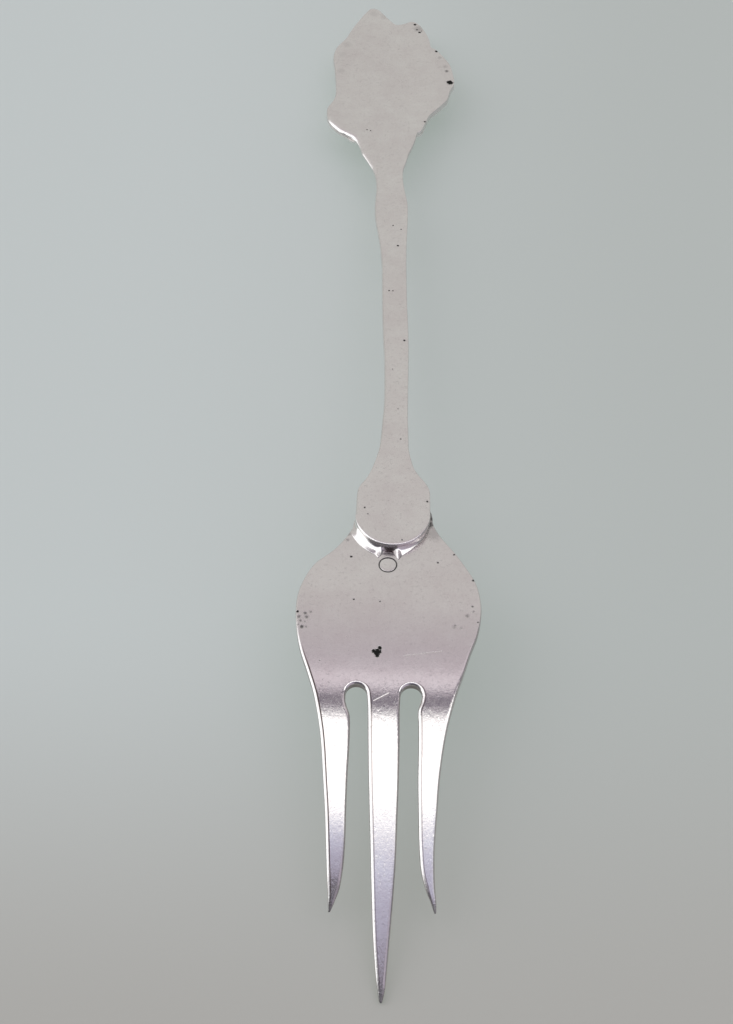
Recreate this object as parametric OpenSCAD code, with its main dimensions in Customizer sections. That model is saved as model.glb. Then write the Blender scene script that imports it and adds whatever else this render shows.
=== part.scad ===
// Three-tine silver pastry fork, lying on its front with the plain back up.
// A sheet head with bent tines carries a flat-backed handle: the handle's round end
// stands on a sloping pad on the heel of the head, and one flush pin goes through
// head and front leaf. Flower, leaves and twig are seated on the front of the handle.
// X is across, Y runs from the tines to the finial, Z is up, and the origin is under
// the middle of the length, on the table.

/* [Head] */
// Greatest width of the head
head_w = 21.2; // [19:0.1:23]
// Thickness of the head's plate
head_t = 1.25; // [1:0.05:1.5]
// Length of the crowned part, from the bend at the tines to the flat heel
crown_l = 10.5; // [9:0.1:12]
// Length of the flat heel, from the crown to the pin
heel_l = 3.4; // [3:0.1:4]
// Fall of the heel and the handle towards the finial, in degrees
heel_tilt = 4.2; // [3.6:0.1:4.6]
// Slope of the plate where the crown meets the bend, in degrees
crown_angle = 3.5; // [2:0.1:5]

/* [Tines] */
// Length of the centre tine, from its tip to the middle of the keyholes
tine_l = 31.85; // [29:0.1:35]
// Width of the centre tine at its root
tine_w = 3.6; // [3:0.05:4.2]
// Distance by which the side tines end before the centre tine
side_tine_back = 8.7; // [6:0.1:11]
// Width of a side tine at its root
side_tine_w = 3.5; // [3:0.05:4]
// Diameter of the keyhole at the top of each slot
keyhole_d = 2.65; // [2.5:0.05:3.1]
// Length of the bend across the roots of the tines
bend_l = 6; // [4:0.1:8]
// Slope of the tines at their roots, in degrees
root_angle = 12; // [10:0.5:14]
// Slope of the tines at their tips, in degrees
tip_angle = 21; // [18:0.5:24]
// Thickness of the tines at their tips
tip_t = 0.65; // [0.5:0.05:0.9]

/* [Heel joint] */
// Diameter of the flush pin
pin_d = 2.1; // [1.8:0.05:2.3]
// Depth to which the pin stands in the front leaf
pin_seat = 0.45; // [0.3:0.05:0.6]
// Clearance all round the pin
pin_fit = 0.02; // [0.01:0.01:0.05]
// Sideways place of the pin, from the middle of the head
pin_x = -0.2; // [-0.4:0.05:0.4]
// Height of the sloping pad
pad_t = 0.6; // [0.45:0.05:0.8]
// Height of the low wall round the pad's foot
pad_foot_t = 0.06; // [0.03:0.01:0.1]

/* [Handle] */
// Thickness of the handle's flat back plate
plate_t = 0.6; // [0.5:0.05:0.8]
// Diameter of the handle's round end
disc_d = 8.85; // [8.5:0.05:9.3]
// Distance from the middle of the pin to the edge of the round end
disc_gap = 2; // [1.8:0.05:2.3]
// Sideways place of the round end, from the middle of the head
disc_x = 0.25; // [-0.3:0.05:0.5]
// Width of the stem
stem_w = 3.1; // [2.8:0.05:3.6]
// Length of the stem, from the middle of the round end to the middle of the flower
stem_l = 81.4; // [75:0.2:90]
// Depth of the half-round twig on the front of the stem
twig_h = 1.7; // [1.2:0.05:1.8]
// Margin of bare plate on each side of the twig
twig_margin = 0.2; // [0.1:0.05:0.35]

/* [Finial] */
// Width of the finial across its leaves
finial_w = 18; // [16:0.1:20]
// Sideways place of the flower, from the middle of the round end
finial_x = -1.58; // [-2:0.02:0]
// Thickness of the leaves under the flower
leaf_t = 0.95; // [0.8:0.05:1.1]
// Thickness of the leaves at their edge
leaf_edge_t = 0.35; // [0.2:0.05:0.5]
// Diameter of the flower across its outer petals
flower_d = 12.4; // [11:0.1:13.4]
// Height of the petals over the leaves
petal_h = 1.75; // [1.5:0.05:1.9]
// Diameter of the flower's heart where it stands on the petals
heart_d = 4.6; // [3.8:0.1:4.8]
// Width of the leaf on the front of the heel
heel_leaf_w = 5.2; // [4.6:0.1:5.6]
// Thickness of the leaf on the front of the heel
heel_leaf_t = 1.15; // [0.9:0.05:1.4]

/* [Hidden] */

// Overrun of every cut past the face that it opens
cut = 1;
// Margin by which the head's tab stays inside the handle's round end
tab_margin = 0.9;
// Gap between the twig and what it ends against
twig_gap = 0.4;
// Height by which the flower's heart is filed flat where it rests on the table
heart_filed = 0.45;
// Thickness of the petals at their edge
petal_edge_t = 0.45;
// Thickness of the twig at its edges
twig_edge_t = 0.3;
// Number of steps between two points of an outline
smooth_steps = 3;
// Facets along the tines, round the bend and along the crown
tine_cuts = 9;
bend_cuts = 6;
crown_cuts = 6;

// Blade of the head. Station as a share of the way from the keyholes to the pin, then
// the left and right edge as shares of half the head's width.
blade_shares = [
    [0.00, 0.77, 0.73], [0.16, 0.85, 0.81], [0.31, 0.93, 0.88], [0.46, 0.98, 0.96],
    [0.61, 1.00, 1.00], [0.74, 0.99, 0.99], [0.87, 0.93, 0.94], [1.00, 0.82, 0.83],
    [1.12, 0.67, 0.72], [1.24, 0.51, 0.61], [1.33, 0.44, 0.52], [1.38, 0.37, 0.40]
];
// Side tines. Station as a share of the way from their tip to the keyholes, then the
// outer edge as a share of half the head's width, and the width as a share of the root's.
left_tine_shares = [
    [0.00, 0.54, 0.05], [0.05, 0.55, 0.20], [0.10, 0.56, 0.36], [0.18, 0.57, 0.50],
    [0.30, 0.59, 0.59], [0.45, 0.61, 0.66], [0.60, 0.64, 0.77], [0.75, 0.67, 0.89],
    [0.90, 0.72, 1.03], [1.00, 0.77, 1.23]
];
right_tine_shares = [
    [0.00, 0.55, 0.05], [0.05, 0.55, 0.18], [0.10, 0.54, 0.30], [0.18, 0.53, 0.42],
    [0.30, 0.53, 0.50], [0.45, 0.55, 0.60], [0.60, 0.57, 0.69], [0.75, 0.61, 0.81],
    [0.90, 0.67, 0.98], [1.00, 0.73, 1.20]
];
// Centre tine, bent a little to the right. Station as a share of its length, then the
// left and right edge as shares of its width at the root.
centre_tine_shares = [
    [0.00, -0.01, 0.06], [0.01, 0.03, 0.09], [0.04, 0.08, 0.15], [0.08, 0.14, 0.19],
    [0.19, 0.24, 0.26], [0.31, 0.31, 0.33], [0.44, 0.37, 0.39], [0.57, 0.43, 0.41],
    [0.70, 0.49, 0.43], [0.84, 0.54, 0.43], [1.00, 0.60, 0.42]
];
// Sideways places of the two keyholes, as shares of half the head's width
keyhole_shares = [-0.325, 0.26];

// Foot of the pad, with a hollow for the pin between two horns. Direction from the middle
// of the round end in degrees, and the distance as a share of half its diameter.
pad_shares = [
    [-180, 1.00], [-167, 1.08], [-157, 1.17], [-145, 1.18], [-131, 1.19], [-120, 1.21],
    [-112, 1.24], [-107, 1.32], [-104, 1.13], [-94, 1.02], [-84.5, 1.12], [-81.5, 1.31],
    [-76, 1.16], [-67, 1.08], [-53, 1.01], [-38, 0.99], [-26, 0.99], [0, 0.99], [45, 0.99],
    [90, 0.99], [135, 0.99], [180, 1.00]
];
// Hollow slope of the pad. Each row is a ring: its place as a share of the way from the
// round end to the foot, and its height as a share of the pad's over the foot.
pad_ring_shares = [[0.00, 1.00], [0.20, 0.68], [0.40, 0.42], [0.60, 0.21], [0.80, 0.07], [1.00, 0.00]];
// Margin by which the pad's top stays inside the round end, as a share of half its diameter
pad_top_share = 0.03;

// Shoulders, where the round end runs into the stem. Station over the middle of the
// round end as a share of its diameter, then left and right as shares of half of it.
shoulder_shares = [
    [0.00, 1.00, 1.00], [0.29, 0.99, 0.99], [0.41, 0.96, 0.98], [0.50, 0.89, 0.92],
    [0.59, 0.77, 0.81], [0.68, 0.68, 0.68], [0.80, 0.59, 0.55], [0.94, 0.51, 0.47],
    [1.12, 0.43, 0.40]
];
// Stem, slightly wavy. Station as a share of the way from the shoulders to the neck,
// then left and right as shares of the stem's width.
stem_shares = [
    [0.03, 0.56, 0.55], [0.10, 0.50, 0.51], [0.16, 0.46, 0.50], [0.29, 0.50, 0.50],
    [0.39, 0.59, 0.47], [0.50, 0.66, 0.39], [0.62, 0.71, 0.34], [0.70, 0.81, 0.33],
    [0.77, 0.97, 0.35], [0.82, 1.08, 0.36], [0.87, 1.10, 0.33], [0.92, 1.06, 0.20],
    [0.96, 1.09, 0.12]
];
// Neck, where the stem spreads into the finial. Station below the middle of the flower,
// then left and right, all as shares of the finial's width.
neck_shares = [
    [1.21, 0.21, 0.02], [1.12, 0.25, 0.04], [1.02, 0.30, 0.06], [0.93, 0.34, 0.09],
    [0.85, 0.35, 0.10], [0.78, 0.37, 0.11]
];
// Leafy edge of the finial. Direction from the middle of the flower in degrees, and the
// distance as a share of half the finial's width.
finial_shares = [
    [-68, 1.42], [-62, 1.30], [-54, 1.23], [-41, 1.17], [-33, 1.10], [-27, 1.07],
    [-21, 1.07], [-11, 1.01], [5, 0.94], [20, 0.88], [34, 0.85], [41, 0.83],
    [50, 0.93], [60, 1.06], [70, 1.20], [76, 1.22], [81, 1.14], [87, 1.10],
    [92, 1.19], [97, 1.38], [100, 1.51], [104, 1.55], [109, 1.45], [117, 1.29],
    [126, 1.16], [137, 1.05], [151, 1.03], [165, 0.99], [180, 0.93], [195, 0.94],
    [208, 1.01], [217, 1.11], [222, 1.23], [226, 1.45], [233, 1.62], [242, 1.72],
    [252, 1.77], [265, 1.68], [283, 1.60], [288, 1.54]
];
// Leaves of the finial: each row is one leaf, from its first edge over its midrib to
// its last edge, as directions in degrees.
leaf_spans = [
    [-72, -50, -29], [-29, 2, 41], [41, 68, 86], [86, 104, 140], [140, 172, 214],
    [214, 236, 256], [256, 271, 288]
];
// Relief of a leaf from the flower's edge to its own. Each row is a ring: its place as
// a share of the way, and its height as a share of the leaves' thickness over the edge.
leaf_ring_shares = [[0.00, 1.00], [0.15, 1.10], [0.40, 1.00], [0.65, 0.75], [0.85, 0.40], [1.00, 0.00]];
// Relief of the flower. Each row is a ring: its radius as a share of the flower's, its
// height as a share of the petals', and how much it follows the five outer petals.
flower_ring_shares = [
    [0.40, 1.00, 0.00], [0.56, 0.98, 0.00], [0.63, 0.86, 0.10], [0.67, 0.50, 0.30],
    [0.78, 0.62, 0.60], [0.90, 0.56, 0.90], [1.00, 0.00, 1.00]
];
// Number of petals in each ring of the flower, and of spokes in its relief
petals = 5;
flower_spokes = 60;
// Depth of the notches between the petals, as a share of the flower's radius
petal_notch_share = 0.14;
// Height by which a petal's edge falls in a notch, as a share of its own height
petal_fall_share = 0.3;
// Fall of the relief towards the edges of a leaf, as a share of its thickness
leaf_valley_share = 0.45;
// Midrib of a leaf: its width as a share of half the leaf's, and its depth as a share
// of the leaf's thickness
vein_w_share = 0.12;
vein_h_share = 0.13;
// Start of the twig over the middle of the round end, as a share of its diameter
twig_start_share = 0.68;
// Greatest half width of the twig, as a share of the stem's width, and its width at
// the rounded ends, as a share of its width between them
twig_half_share = 0.62;
twig_end_share = 0.35;
// Swellings of the twig: places along it as shares, then their length and height as
// shares of the stem's length and of the twig's depth
twig_knot_shares = [0.16, 0.47, 0.82];
twig_knot_l_share = 0.03;
twig_knot_h_share = 0.14;
// Columns across the twig and across the heel leaf
twig_columns = 7;
leaf_columns = 9;
// Outline and height of the heel leaf from its tip to its stalk: station, half width
// and height, as shares of the leaf's own length, half width and thickness
heel_leaf_shares = [
    [0.00, 0.05, 0.35], [0.08, 0.36, 0.55], [0.18, 0.70, 0.80], [0.30, 0.94, 0.96],
    [0.42, 1.00, 1.00], [0.56, 0.88, 0.98], [0.70, 0.62, 0.92], [0.82, 0.36, 0.86],
    [0.91, 0.24, 0.80], [1.00, 0.20, 0.62]
];

// Stations along Y from the tip of the centre tine
bend_start = tine_l - bend_l / 2;
bend_end = tine_l + bend_l / 2;
crown_end = bend_end + crown_l;
pin_y = crown_end + heel_l;
// The handle's own frame has its zero at the middle of the round end
disc_y = disc_gap + disc_d / 2;
plan_disc_y = pin_y + disc_y * cos(heel_tilt);
blank_end = plan_disc_y + disc_d;

// Slope of the back and thickness of the plate by station
slopes = [[0, tip_angle], [bend_start, root_angle], [bend_end, crown_angle],
          [crown_end, -heel_tilt], [blank_end, -heel_tilt]];
thicknesses = [[0, tip_t], [bend_end, head_t], [blank_end, head_t]];
stations = concat(
    [for (i = [0:tine_cuts - 1]) bend_start * i / tine_cuts],
    [for (i = [0:bend_cuts - 1]) bend_start + bend_l * i / bend_cuts],
    [for (i = [0:crown_cuts - 1]) bend_end + crown_l * i / crown_cuts],
    [crown_end, blank_end]
);
last_station = len(stations) - 1;
function rise(i) = i == last_station ? 0
    : tan(lookup((stations[i] + stations[i + 1]) / 2, slopes)) * (stations[i + 1] - stations[i]);
// Heights of the back, summed from the tip, whose front edge touches the table
heights = [for (i = 0, z = tip_t * cos(tip_angle); i <= last_station; z = z + rise(i), i = i + 1) z];
pin_z = heights[last_station - 1] - heel_l * tan(heel_tilt);

// Outlines, as smooth lines through the points above
function along(a, b, c, d, t) = (2 * b + (c - a) * t + (2 * a - 5 * b + 4 * c - d) * t * t
    + (3 * b - a - 3 * c + d) * t * t * t) / 2;
function smooth(p) = concat(
    [for (i = [0:len(p) - 2]) for (k = [0:smooth_steps - 1])
        along(p[max(i - 1, 0)], p[i], p[i + 1], p[min(i + 2, len(p) - 1)], k / smooth_steps)],
    [p[len(p) - 1]]
);
function smooth_ring(p) = [for (i = [0:len(p) - 1]) for (k = [0:smooth_steps - 1])
    along(p[(i + len(p) - 1) % len(p)], p[i], p[(i + 1) % len(p)], p[(i + 2) % len(p)], k / smooth_steps)];
function turned_back(p) = [for (i = [len(p) - 1:-1:0]) p[i]];
// A strip between a left and a right edge, from rows of station, left and right
function strip(rows) = concat(
    [for (r = rows) [r[2], r[0]]],
    [for (r = turned_back(rows)) [r[1], r[0]]]
);

blade_l = pin_y - tine_l;
side_tine_l = tine_l - side_tine_back;
blade_rows = smooth([for (s = blade_shares)
    [tine_l + s[0] * blade_l, -s[1] * head_w / 2, s[2] * head_w / 2]]);
left_tine_rows = smooth([for (s = left_tine_shares)
    [side_tine_back + s[0] * side_tine_l, -s[1] * head_w / 2, -s[1] * head_w / 2 + s[2] * side_tine_w]]);
right_tine_rows = smooth([for (s = right_tine_shares)
    [side_tine_back + s[0] * side_tine_l, s[1] * head_w / 2 - s[2] * side_tine_w, s[1] * head_w / 2]]);
centre_tine_rows = smooth([for (s = centre_tine_shares)
    [s[0] * tine_l, -s[1] * tine_w, s[2] * tine_w]]);

shoulder_end = disc_d * shoulder_shares[len(shoulder_shares) - 1][0];
neck_start = stem_l - finial_w * neck_shares[0][0];
wavy_l = neck_start - shoulder_end;
stem_rows = smooth(concat(
    [for (s = shoulder_shares) [s[0] * disc_d, -s[1] * disc_d / 2, s[2] * disc_d / 2]],
    [for (s = stem_shares) [shoulder_end + s[0] * wavy_l, -s[1] * stem_w, s[2] * stem_w]],
    [for (s = neck_shares) [stem_l - s[0] * finial_w, -s[1] * finial_w, s[2] * finial_w]]
));
finial_edge = smooth_ring([for (s = finial_shares) s[1] * finial_w / 2 * [cos(s[0]), sin(s[0])]]);
finial_top = max([for (p = finial_edge) p[1]]);
finial_foot = -min([for (p = finial_edge) p[1]]);

// The whole fork is centred along Y on its overall length
overall_l = pin_y + (disc_y + stem_l + finial_top) * cos(heel_tilt) + (pad_t + plate_t) * sin(heel_tilt);
// Distance from the front of the plate to the table, square to the plate, at the flower
rest_depth = (pin_z - (disc_y + stem_l) * sin(heel_tilt)) / cos(heel_tilt) + pad_t;
flower_r = flower_d / 2;

// Frame of the heel: zero at the pin on the back of the head, Z square to the plate
module on_heel() {
    translate([pin_x, pin_y - overall_l / 2, pin_z]) rotate([-heel_tilt, 0, 0]) children();
}
// Frame of the handle: zero at the middle of the round end, on the plate's front face
module on_plate_front() {
    on_heel() translate([disc_x - pin_x, disc_y, pad_t]) children();
}
module at_flower() {
    on_plate_front() translate([finial_x, stem_l]) children();
}

// A relief with a flat back at zero and its front hanging below, from rows of points
// that hold x, y and depth. The first and last row are closed by walls.
module relief(rows) {
    n = len(rows);
    m = len(rows[0]);
    front = [for (r = rows) for (p = r) [p[0], p[1], -p[2]]];
    back = [for (r = rows) for (p = [r[0], r[m - 1]]) [p[0], p[1], 0]];
    nm = n * m;
    skin = [for (i = [0:n - 2]) for (j = [0:m - 2]) each [
        [i * m + j, i * m + j + 1, (i + 1) * m + j + 1],
        [i * m + j, (i + 1) * m + j + 1, (i + 1) * m + j]]];
    flat = [for (i = [0:n - 2]) each [
        [nm + 2 * i, nm + 2 * i + 3, nm + 2 * i + 1],
        [nm + 2 * i, nm + 2 * i + 2, nm + 2 * i + 3]]];
    sides = [for (i = [0:n - 2]) each [
        [i * m, (i + 1) * m, nm + 2 * i + 2],
        [i * m, nm + 2 * i + 2, nm + 2 * i],
        [i * m + m - 1, nm + 2 * i + 3, (i + 1) * m + m - 1],
        [i * m + m - 1, nm + 2 * i + 1, nm + 2 * i + 3]]];
    ends = [
        concat([nm + 1], [for (j = [m - 1:-1:0]) j], [nm]),
        concat([for (j = [0:m - 1]) nm - m + j], [nm + 2 * n - 1, nm + 2 * n - 2])];
    polyhedron(points = concat(front, back), faces = concat(skin, flat, sides, ends), convexity = 6);
}

// A round relief with a flat back at zero, from a middle depth and rings of points
module round_relief(middle, rings) {
    n = len(rings);
    m = len(rings[0]);
    front = [for (r = rings) for (p = r) [p[0], p[1], -p[2]]];
    back = [for (p = rings[n - 1]) [p[0], p[1], 0]];
    nm = n * m;
    skin = [for (i = [0:n - 2]) for (j = [0:m - 1]) each [
        [i * m + j, i * m + (j + 1) % m, (i + 1) * m + (j + 1) % m],
        [i * m + j, (i + 1) * m + (j + 1) % m, (i + 1) * m + j]]];
    inner = [for (j = [0:m - 1]) [nm + m, (j + 1) % m, j]];
    wall = [for (j = [0:m - 1]) each [
        [nm - m + j, nm - m + (j + 1) % m, nm + (j + 1) % m],
        [nm - m + j, nm + (j + 1) % m, nm + j]]];
    flat = [for (j = [0:m - 1]) [nm + m + 1, nm + j, nm + (j + 1) % m]];
    polyhedron(points = concat(front, back, [[0, 0, -middle], [0, 0, 0]]),
        faces = concat(skin, inner, wall, flat), convexity = 6);
}

// The head in plan, from tines to tab, with Y measured from the centre tine's tip
module head_plan() {
    difference() {
        union() {
            polygon(strip(blade_rows));
            polygon(strip(left_tine_rows));
            polygon(strip(right_tine_rows));
            polygon(strip(centre_tine_rows));
            translate([disc_x, plan_disc_y]) circle(d = disc_d - 2 * tab_margin, $fn = 64);
        }
        for (s = keyhole_shares) translate([s * head_w / 2, tine_l]) circle(d = keyhole_d, $fn = 48);
    }
}

// The side of the plate, bent from tip to heel, as a thin section along Y and Z
module head_section() {
    back = [for (i = [0:last_station]) [stations[i], heights[i]]];
    front = [for (i = [last_station:-1:0]) let (s = lookup(stations[i], slopes))
        back[i] + lookup(stations[i], thicknesses) * [sin(s), -cos(s)]];
    polygon(concat(back, front));
}

// Sheet head with three tapering tines, cut from a bent blank and drilled for the pin
module fork_head() {
    color("#c4c1bb") difference() {
        translate([0, -overall_l / 2]) intersection() {
            rotate([90, 0, 90]) linear_extrude(height = head_w + 2 * cut, center = true) head_section();
            translate([0, 0, -cut]) linear_extrude(height = max(heights) + 2 * cut) head_plan();
        }
        on_heel() translate([0, 0, -head_t - cut])
            cylinder(d = pin_d + 2 * pin_fit, h = head_t + 2 * cut, $fn = 64);
    }
}

// Sloping pad between the head and the handle's round end, as rings from top to foot
pad_rows = smooth(pad_shares);
function pad_point(row, ring) = let (
    top = 1 - pad_top_share,
    r = (top + ring[0] * (row[1] - top)) * disc_d / 2)
    [r * cos(row[0]), -r * sin(row[0]), pad_foot_t + (pad_t - pad_foot_t) * ring[1]];
module heel_pad() {
    color("#d2d0cc") on_heel() translate([disc_x - pin_x, disc_y]) rotate([180, 0, 0])
        round_relief(pad_t, [for (ring = pad_ring_shares)
            [for (i = [len(pad_rows) - 1:-1:1]) pad_point(pad_rows[i], ring)]]);
}

// Pin through the head into the front leaf, filed flush with the back
module joint_pin() {
    color("#b9b6b0") on_heel() translate([0, 0, -head_t - pin_seat])
        cylinder(d = pin_d, h = head_t + pin_seat, $fn = 64);
}

// Flat back plate of the handle: round end, wavy stem and leafy finial in one piece
module handle_plate() {
    color("#c2bfb9") on_plate_front() linear_extrude(height = plate_t) {
        circle(d = disc_d, $fn = 96);
        polygon(strip(stem_rows));
        translate([finial_x, stem_l]) polygon(finial_edge);
    }
}

// Half-round twig along the front of the stem, with a few swellings
twig_start = disc_d * twig_start_share;
twig_end = stem_l - finial_foot - twig_gap;
function twig_swell(s) = 1 + twig_knot_h_share
    * max([for (k = twig_knot_shares) exp(-pow((s - k) / twig_knot_l_share, 2))]);
function twig_row(r) = let (
    s = (r[0] - twig_start) / (twig_end - twig_start),
    round_end = sqrt(1 - pow(2 * s - 1, 12)),
    middle = (r[1] + r[2]) / 2,
    half_between = min((r[2] - r[1]) / 2 - twig_margin, stem_w * twig_half_share),
    half = half_between * (twig_end_share + (1 - twig_end_share) * round_end))
    [for (j = [0:twig_columns - 1]) let (a = 180 * j / (twig_columns - 1))
        [middle - half * cos(a), r[0],
         twig_edge_t + (twig_h - twig_edge_t) * sin(a) * round_end * twig_swell(s)]];
module stem_twig() {
    color("#bdbab4") on_plate_front()
        relief([for (r = stem_rows) if (r[0] > twig_start && r[0] < twig_end) twig_row(r)]);
}

// Leaf on the front of the heel, over the tab, pegged by the pin
heel_leaf_end = disc_y + disc_d / 2 - tab_margin;
function heel_leaf_row(s) = let (y = -heel_l + s[0] * (heel_leaf_end + heel_l))
    [for (j = [0:leaf_columns - 1]) let (
        v = 2 * j / (leaf_columns - 1) - 1,
        vein = abs(v) < vein_w_share ? 1 - vein_h_share : 1)
        [v * s[1] * heel_leaf_w / 2 + (disc_x - pin_x) * s[0], y,
         heel_leaf_t * s[2] * (1 - leaf_valley_share * v * v) * vein]];
module heel_leaf() {
    color("#c0bdb7") on_heel() translate([0, 0, -head_t]) difference() {
        relief([for (s = smooth(heel_leaf_shares)) heel_leaf_row(s)]);
        translate([0, 0, -pin_seat]) cylinder(d = pin_d + 2 * pin_fit, h = pin_seat + cut, $fn = 64);
    }
}

// Spray of leaves round the flower, up to the plate's edge, flat where the flower sits
function leaf_at(a) = [for (s = leaf_spans) if (a >= s[0] && a < s[2]) s][0];
function across_leaf(a) = let (s = leaf_at(a))
    a < s[1] ? (s[1] - a) / (s[1] - s[0]) : (a - s[1]) / (s[2] - s[1]);
function direction(p) = let (a = atan2(p[1], p[0])) a < leaf_spans[0][0] ? a + 360 : a;
function leaf_point(p, ring) = let (
    v = across_leaf(direction(p)),
    seat = flower_r * p / norm(p),
    vein = v < vein_w_share ? 1 - vein_h_share : 1,
    carving = ring[0] > 0 ? (1 - leaf_valley_share * v * v) * vein : 1)
    concat(seat + ring[0] * (p - seat), [leaf_edge_t + (leaf_t - leaf_edge_t) * ring[1] * carving]);
module finial_leaves() {
    color("#bab7b0") at_flower() round_relief(leaf_t,
        [for (ring = leaf_ring_shares) [for (p = finial_edge) leaf_point(p, ring)]]);
}

// Open flower of two rings of petals, flat in the middle where the heart sits
function petal(a, turn) = abs(cos(petals * (a - turn) / 2));
function flower_point(a, ring) = let (
    outer = petal(a, 0),
    inner = petal(a, 180 / petals),
    notch = ring[2] * (1 - outer) + (1 - ring[2]) * (1 - inner) * ring[0],
    r = flower_r * ring[0] * (1 - petal_notch_share * notch),
    rise = ring[1] * (1 - petal_fall_share * ring[2] * (1 - outer)))
    [r * cos(a), r * sin(a), petal_edge_t + (petal_h - petal_edge_t) * rise];
module flower_petals() {
    color("#c6c3bd") at_flower() translate([0, 0, -leaf_t]) round_relief(petal_h,
        [for (ring = flower_ring_shares) [for (i = [0:flower_spokes - 1])
            flower_point(360 * i / flower_spokes, ring)]]);
}

// Domed heart of the flower, filed flat where the fork rests on the table
module flower_heart() {
    heart_h = rest_depth - leaf_t - petal_h + heart_filed;
    dome_r = (heart_d * heart_d / 4 + heart_h * heart_h) / (2 * heart_h);
    color("#cfccc7") intersection() {
        at_flower() translate([0, 0, -leaf_t - petal_h]) intersection() {
            translate([0, 0, dome_r - heart_h]) sphere(r = dome_r, $fn = 96);
            translate([0, 0, -heart_h - cut]) cylinder(d = heart_d + 2 * cut, h = heart_h + cut, $fn = 48);
        }
        translate([-head_w, 0, 0]) cube([2 * head_w, overall_l, pin_z]);
    }
}

fork_head();
heel_pad();
joint_pin();
handle_plate();
stem_twig();
heel_leaf();
finial_leaves();
flower_petals();
flower_heart();
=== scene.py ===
"""Builds a small handmade silver pastry fork, lying back up on a frosted glass table.

Every piece is a closed surface worked out on a grid of two parameters, in metres,
and stands in its own place while its object stays at the origin.
"""

import math
from functools import partial

import bpy
import numpy as np
from bpy.props import FloatProperty, FloatVectorProperty, PointerProperty
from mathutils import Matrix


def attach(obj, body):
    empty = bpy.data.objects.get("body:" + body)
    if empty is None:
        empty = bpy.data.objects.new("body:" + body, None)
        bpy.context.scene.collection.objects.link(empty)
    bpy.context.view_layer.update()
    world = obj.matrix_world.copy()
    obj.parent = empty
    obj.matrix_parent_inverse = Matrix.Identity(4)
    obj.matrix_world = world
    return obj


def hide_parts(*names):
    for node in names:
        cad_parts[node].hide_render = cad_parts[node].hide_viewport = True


bl_info = {
    "name": "Silver Pastry Fork",
    "version": (1, 0, 0),
    "blender": (4, 5, 0),
    "location": "View3D > Sidebar > Fork",
    "description": "Builds a handmade silver pastry fork on a frosted glass table",
    "category": "Add Mesh",
}

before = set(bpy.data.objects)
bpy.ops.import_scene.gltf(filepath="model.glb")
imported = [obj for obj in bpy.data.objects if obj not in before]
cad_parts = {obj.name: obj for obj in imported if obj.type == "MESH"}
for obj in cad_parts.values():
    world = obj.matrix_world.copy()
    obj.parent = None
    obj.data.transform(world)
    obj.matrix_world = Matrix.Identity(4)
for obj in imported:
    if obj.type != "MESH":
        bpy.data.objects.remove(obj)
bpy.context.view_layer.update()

MM = 0.001
# Points closer than this become one when the grids of a piece are joined
WELD = 1e-8
# Worn upper edge of a plate: its depth as a share of its width, the most of the plate's
# thickness that it takes, and the most of the rest that the lower edge's round takes
EDGE_DEPTH, EDGE_MOST, LOWER_MOST = 0.66, 0.7, 0.8
# Degrees of that edge over which the painted shade fades from the wall, and the painted shade line from the
# face
WALL_SHADE_TURN, SHADE_LINE_TURN = 28, 20
# Most of a tine's width that the worn edge takes on each side
TINE_EDGE_MOST = 0.38
# Width of the head's worn edge at the keyholes, past the bend and at the pin, as shares
# of the named width
HEAD_EDGE_SHARES = [1.0, 0.7, 0.4]
# Painted shade line inside the left edges, dark along the start of their rounding: strength from
# a third of the tines to the bend, and what it is times that on the left tine and on the rest
SHADE_LINE, LEFT_SHADE_LINE, RIGHT_SHADE_LINE = [0.7, 1.0, 1.0, 0.0], 2.1, 0.9
# Width of the handle's worn edge: station as a share of the stem's length, and share of
# the named width, which wear has made widest at the round end and narrowest at the leaves
HANDLE_EDGE_SHARES = [(-0.03, 2.2), (-0.01, 1.0), (0.78, 1.0), (0.88, 0.5)]
# How many times wider that edge is where it faces the tines and the left
FACING_EDGE = 8

# Outer edge of the blade: station from the keyholes to the pin, left and right as
# shares of half the head's width
BLADE_SHARES = [
    (0.00, 0.77, 0.73), (0.16, 0.85, 0.81), (0.31, 0.93, 0.88), (0.46, 0.98, 0.96),
    (0.61, 1.00, 1.00), (0.74, 0.99, 0.99), (0.87, 0.93, 0.94), (1.00, 0.82, 0.83),
    (1.12, 0.62, 0.71), (1.24, 0.48, 0.57), (1.33, 0.41, 0.49), (1.38, 0.36, 0.47),
]
# Side tines: station from tip to keyhole, outer edge as a share of half the head's
# width, and width as a share of the root's
LEFT_TINE_SHARES = [
    (0.00, 0.54, 0.05), (0.05, 0.55, 0.23), (0.105, 0.56, 0.39), (0.20, 0.575, 0.53),
    (0.31, 0.59, 0.61), (0.45, 0.61, 0.67), (0.60, 0.64, 0.77), (0.75, 0.67, 0.89),
    (0.86, 0.705, 0.998), (1.00, 0.77, 1.00),
]
RIGHT_TINE_SHARES = [
    (0.00, 0.55, 0.05), (0.05, 0.55, 0.18), (0.10, 0.54, 0.30), (0.18, 0.53, 0.42),
    (0.30, 0.53, 0.50), (0.45, 0.55, 0.60), (0.60, 0.57, 0.69), (0.75, 0.61, 0.81),
    (0.86, 0.653, 0.954), (1.00, 0.73, 1.02),
]
# Centre tine: station along it, left and right edge as shares of its root width
CENTRE_TINE_SHARES = [
    (0.00, -0.01, 0.06), (0.01, 0.03, 0.09), (0.04, 0.08, 0.15), (0.08, 0.14, 0.19),
    (0.19, 0.24, 0.26), (0.31, 0.31, 0.33), (0.44, 0.37, 0.39), (0.57, 0.43, 0.41),
    (0.70, 0.49, 0.43), (0.84, 0.54, 0.43), (0.95, 0.57, 0.415),
]
# Middles of the two keyholes as shares of half the head's width
KEYHOLE_SHARES = (-0.32, 0.26)
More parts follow.
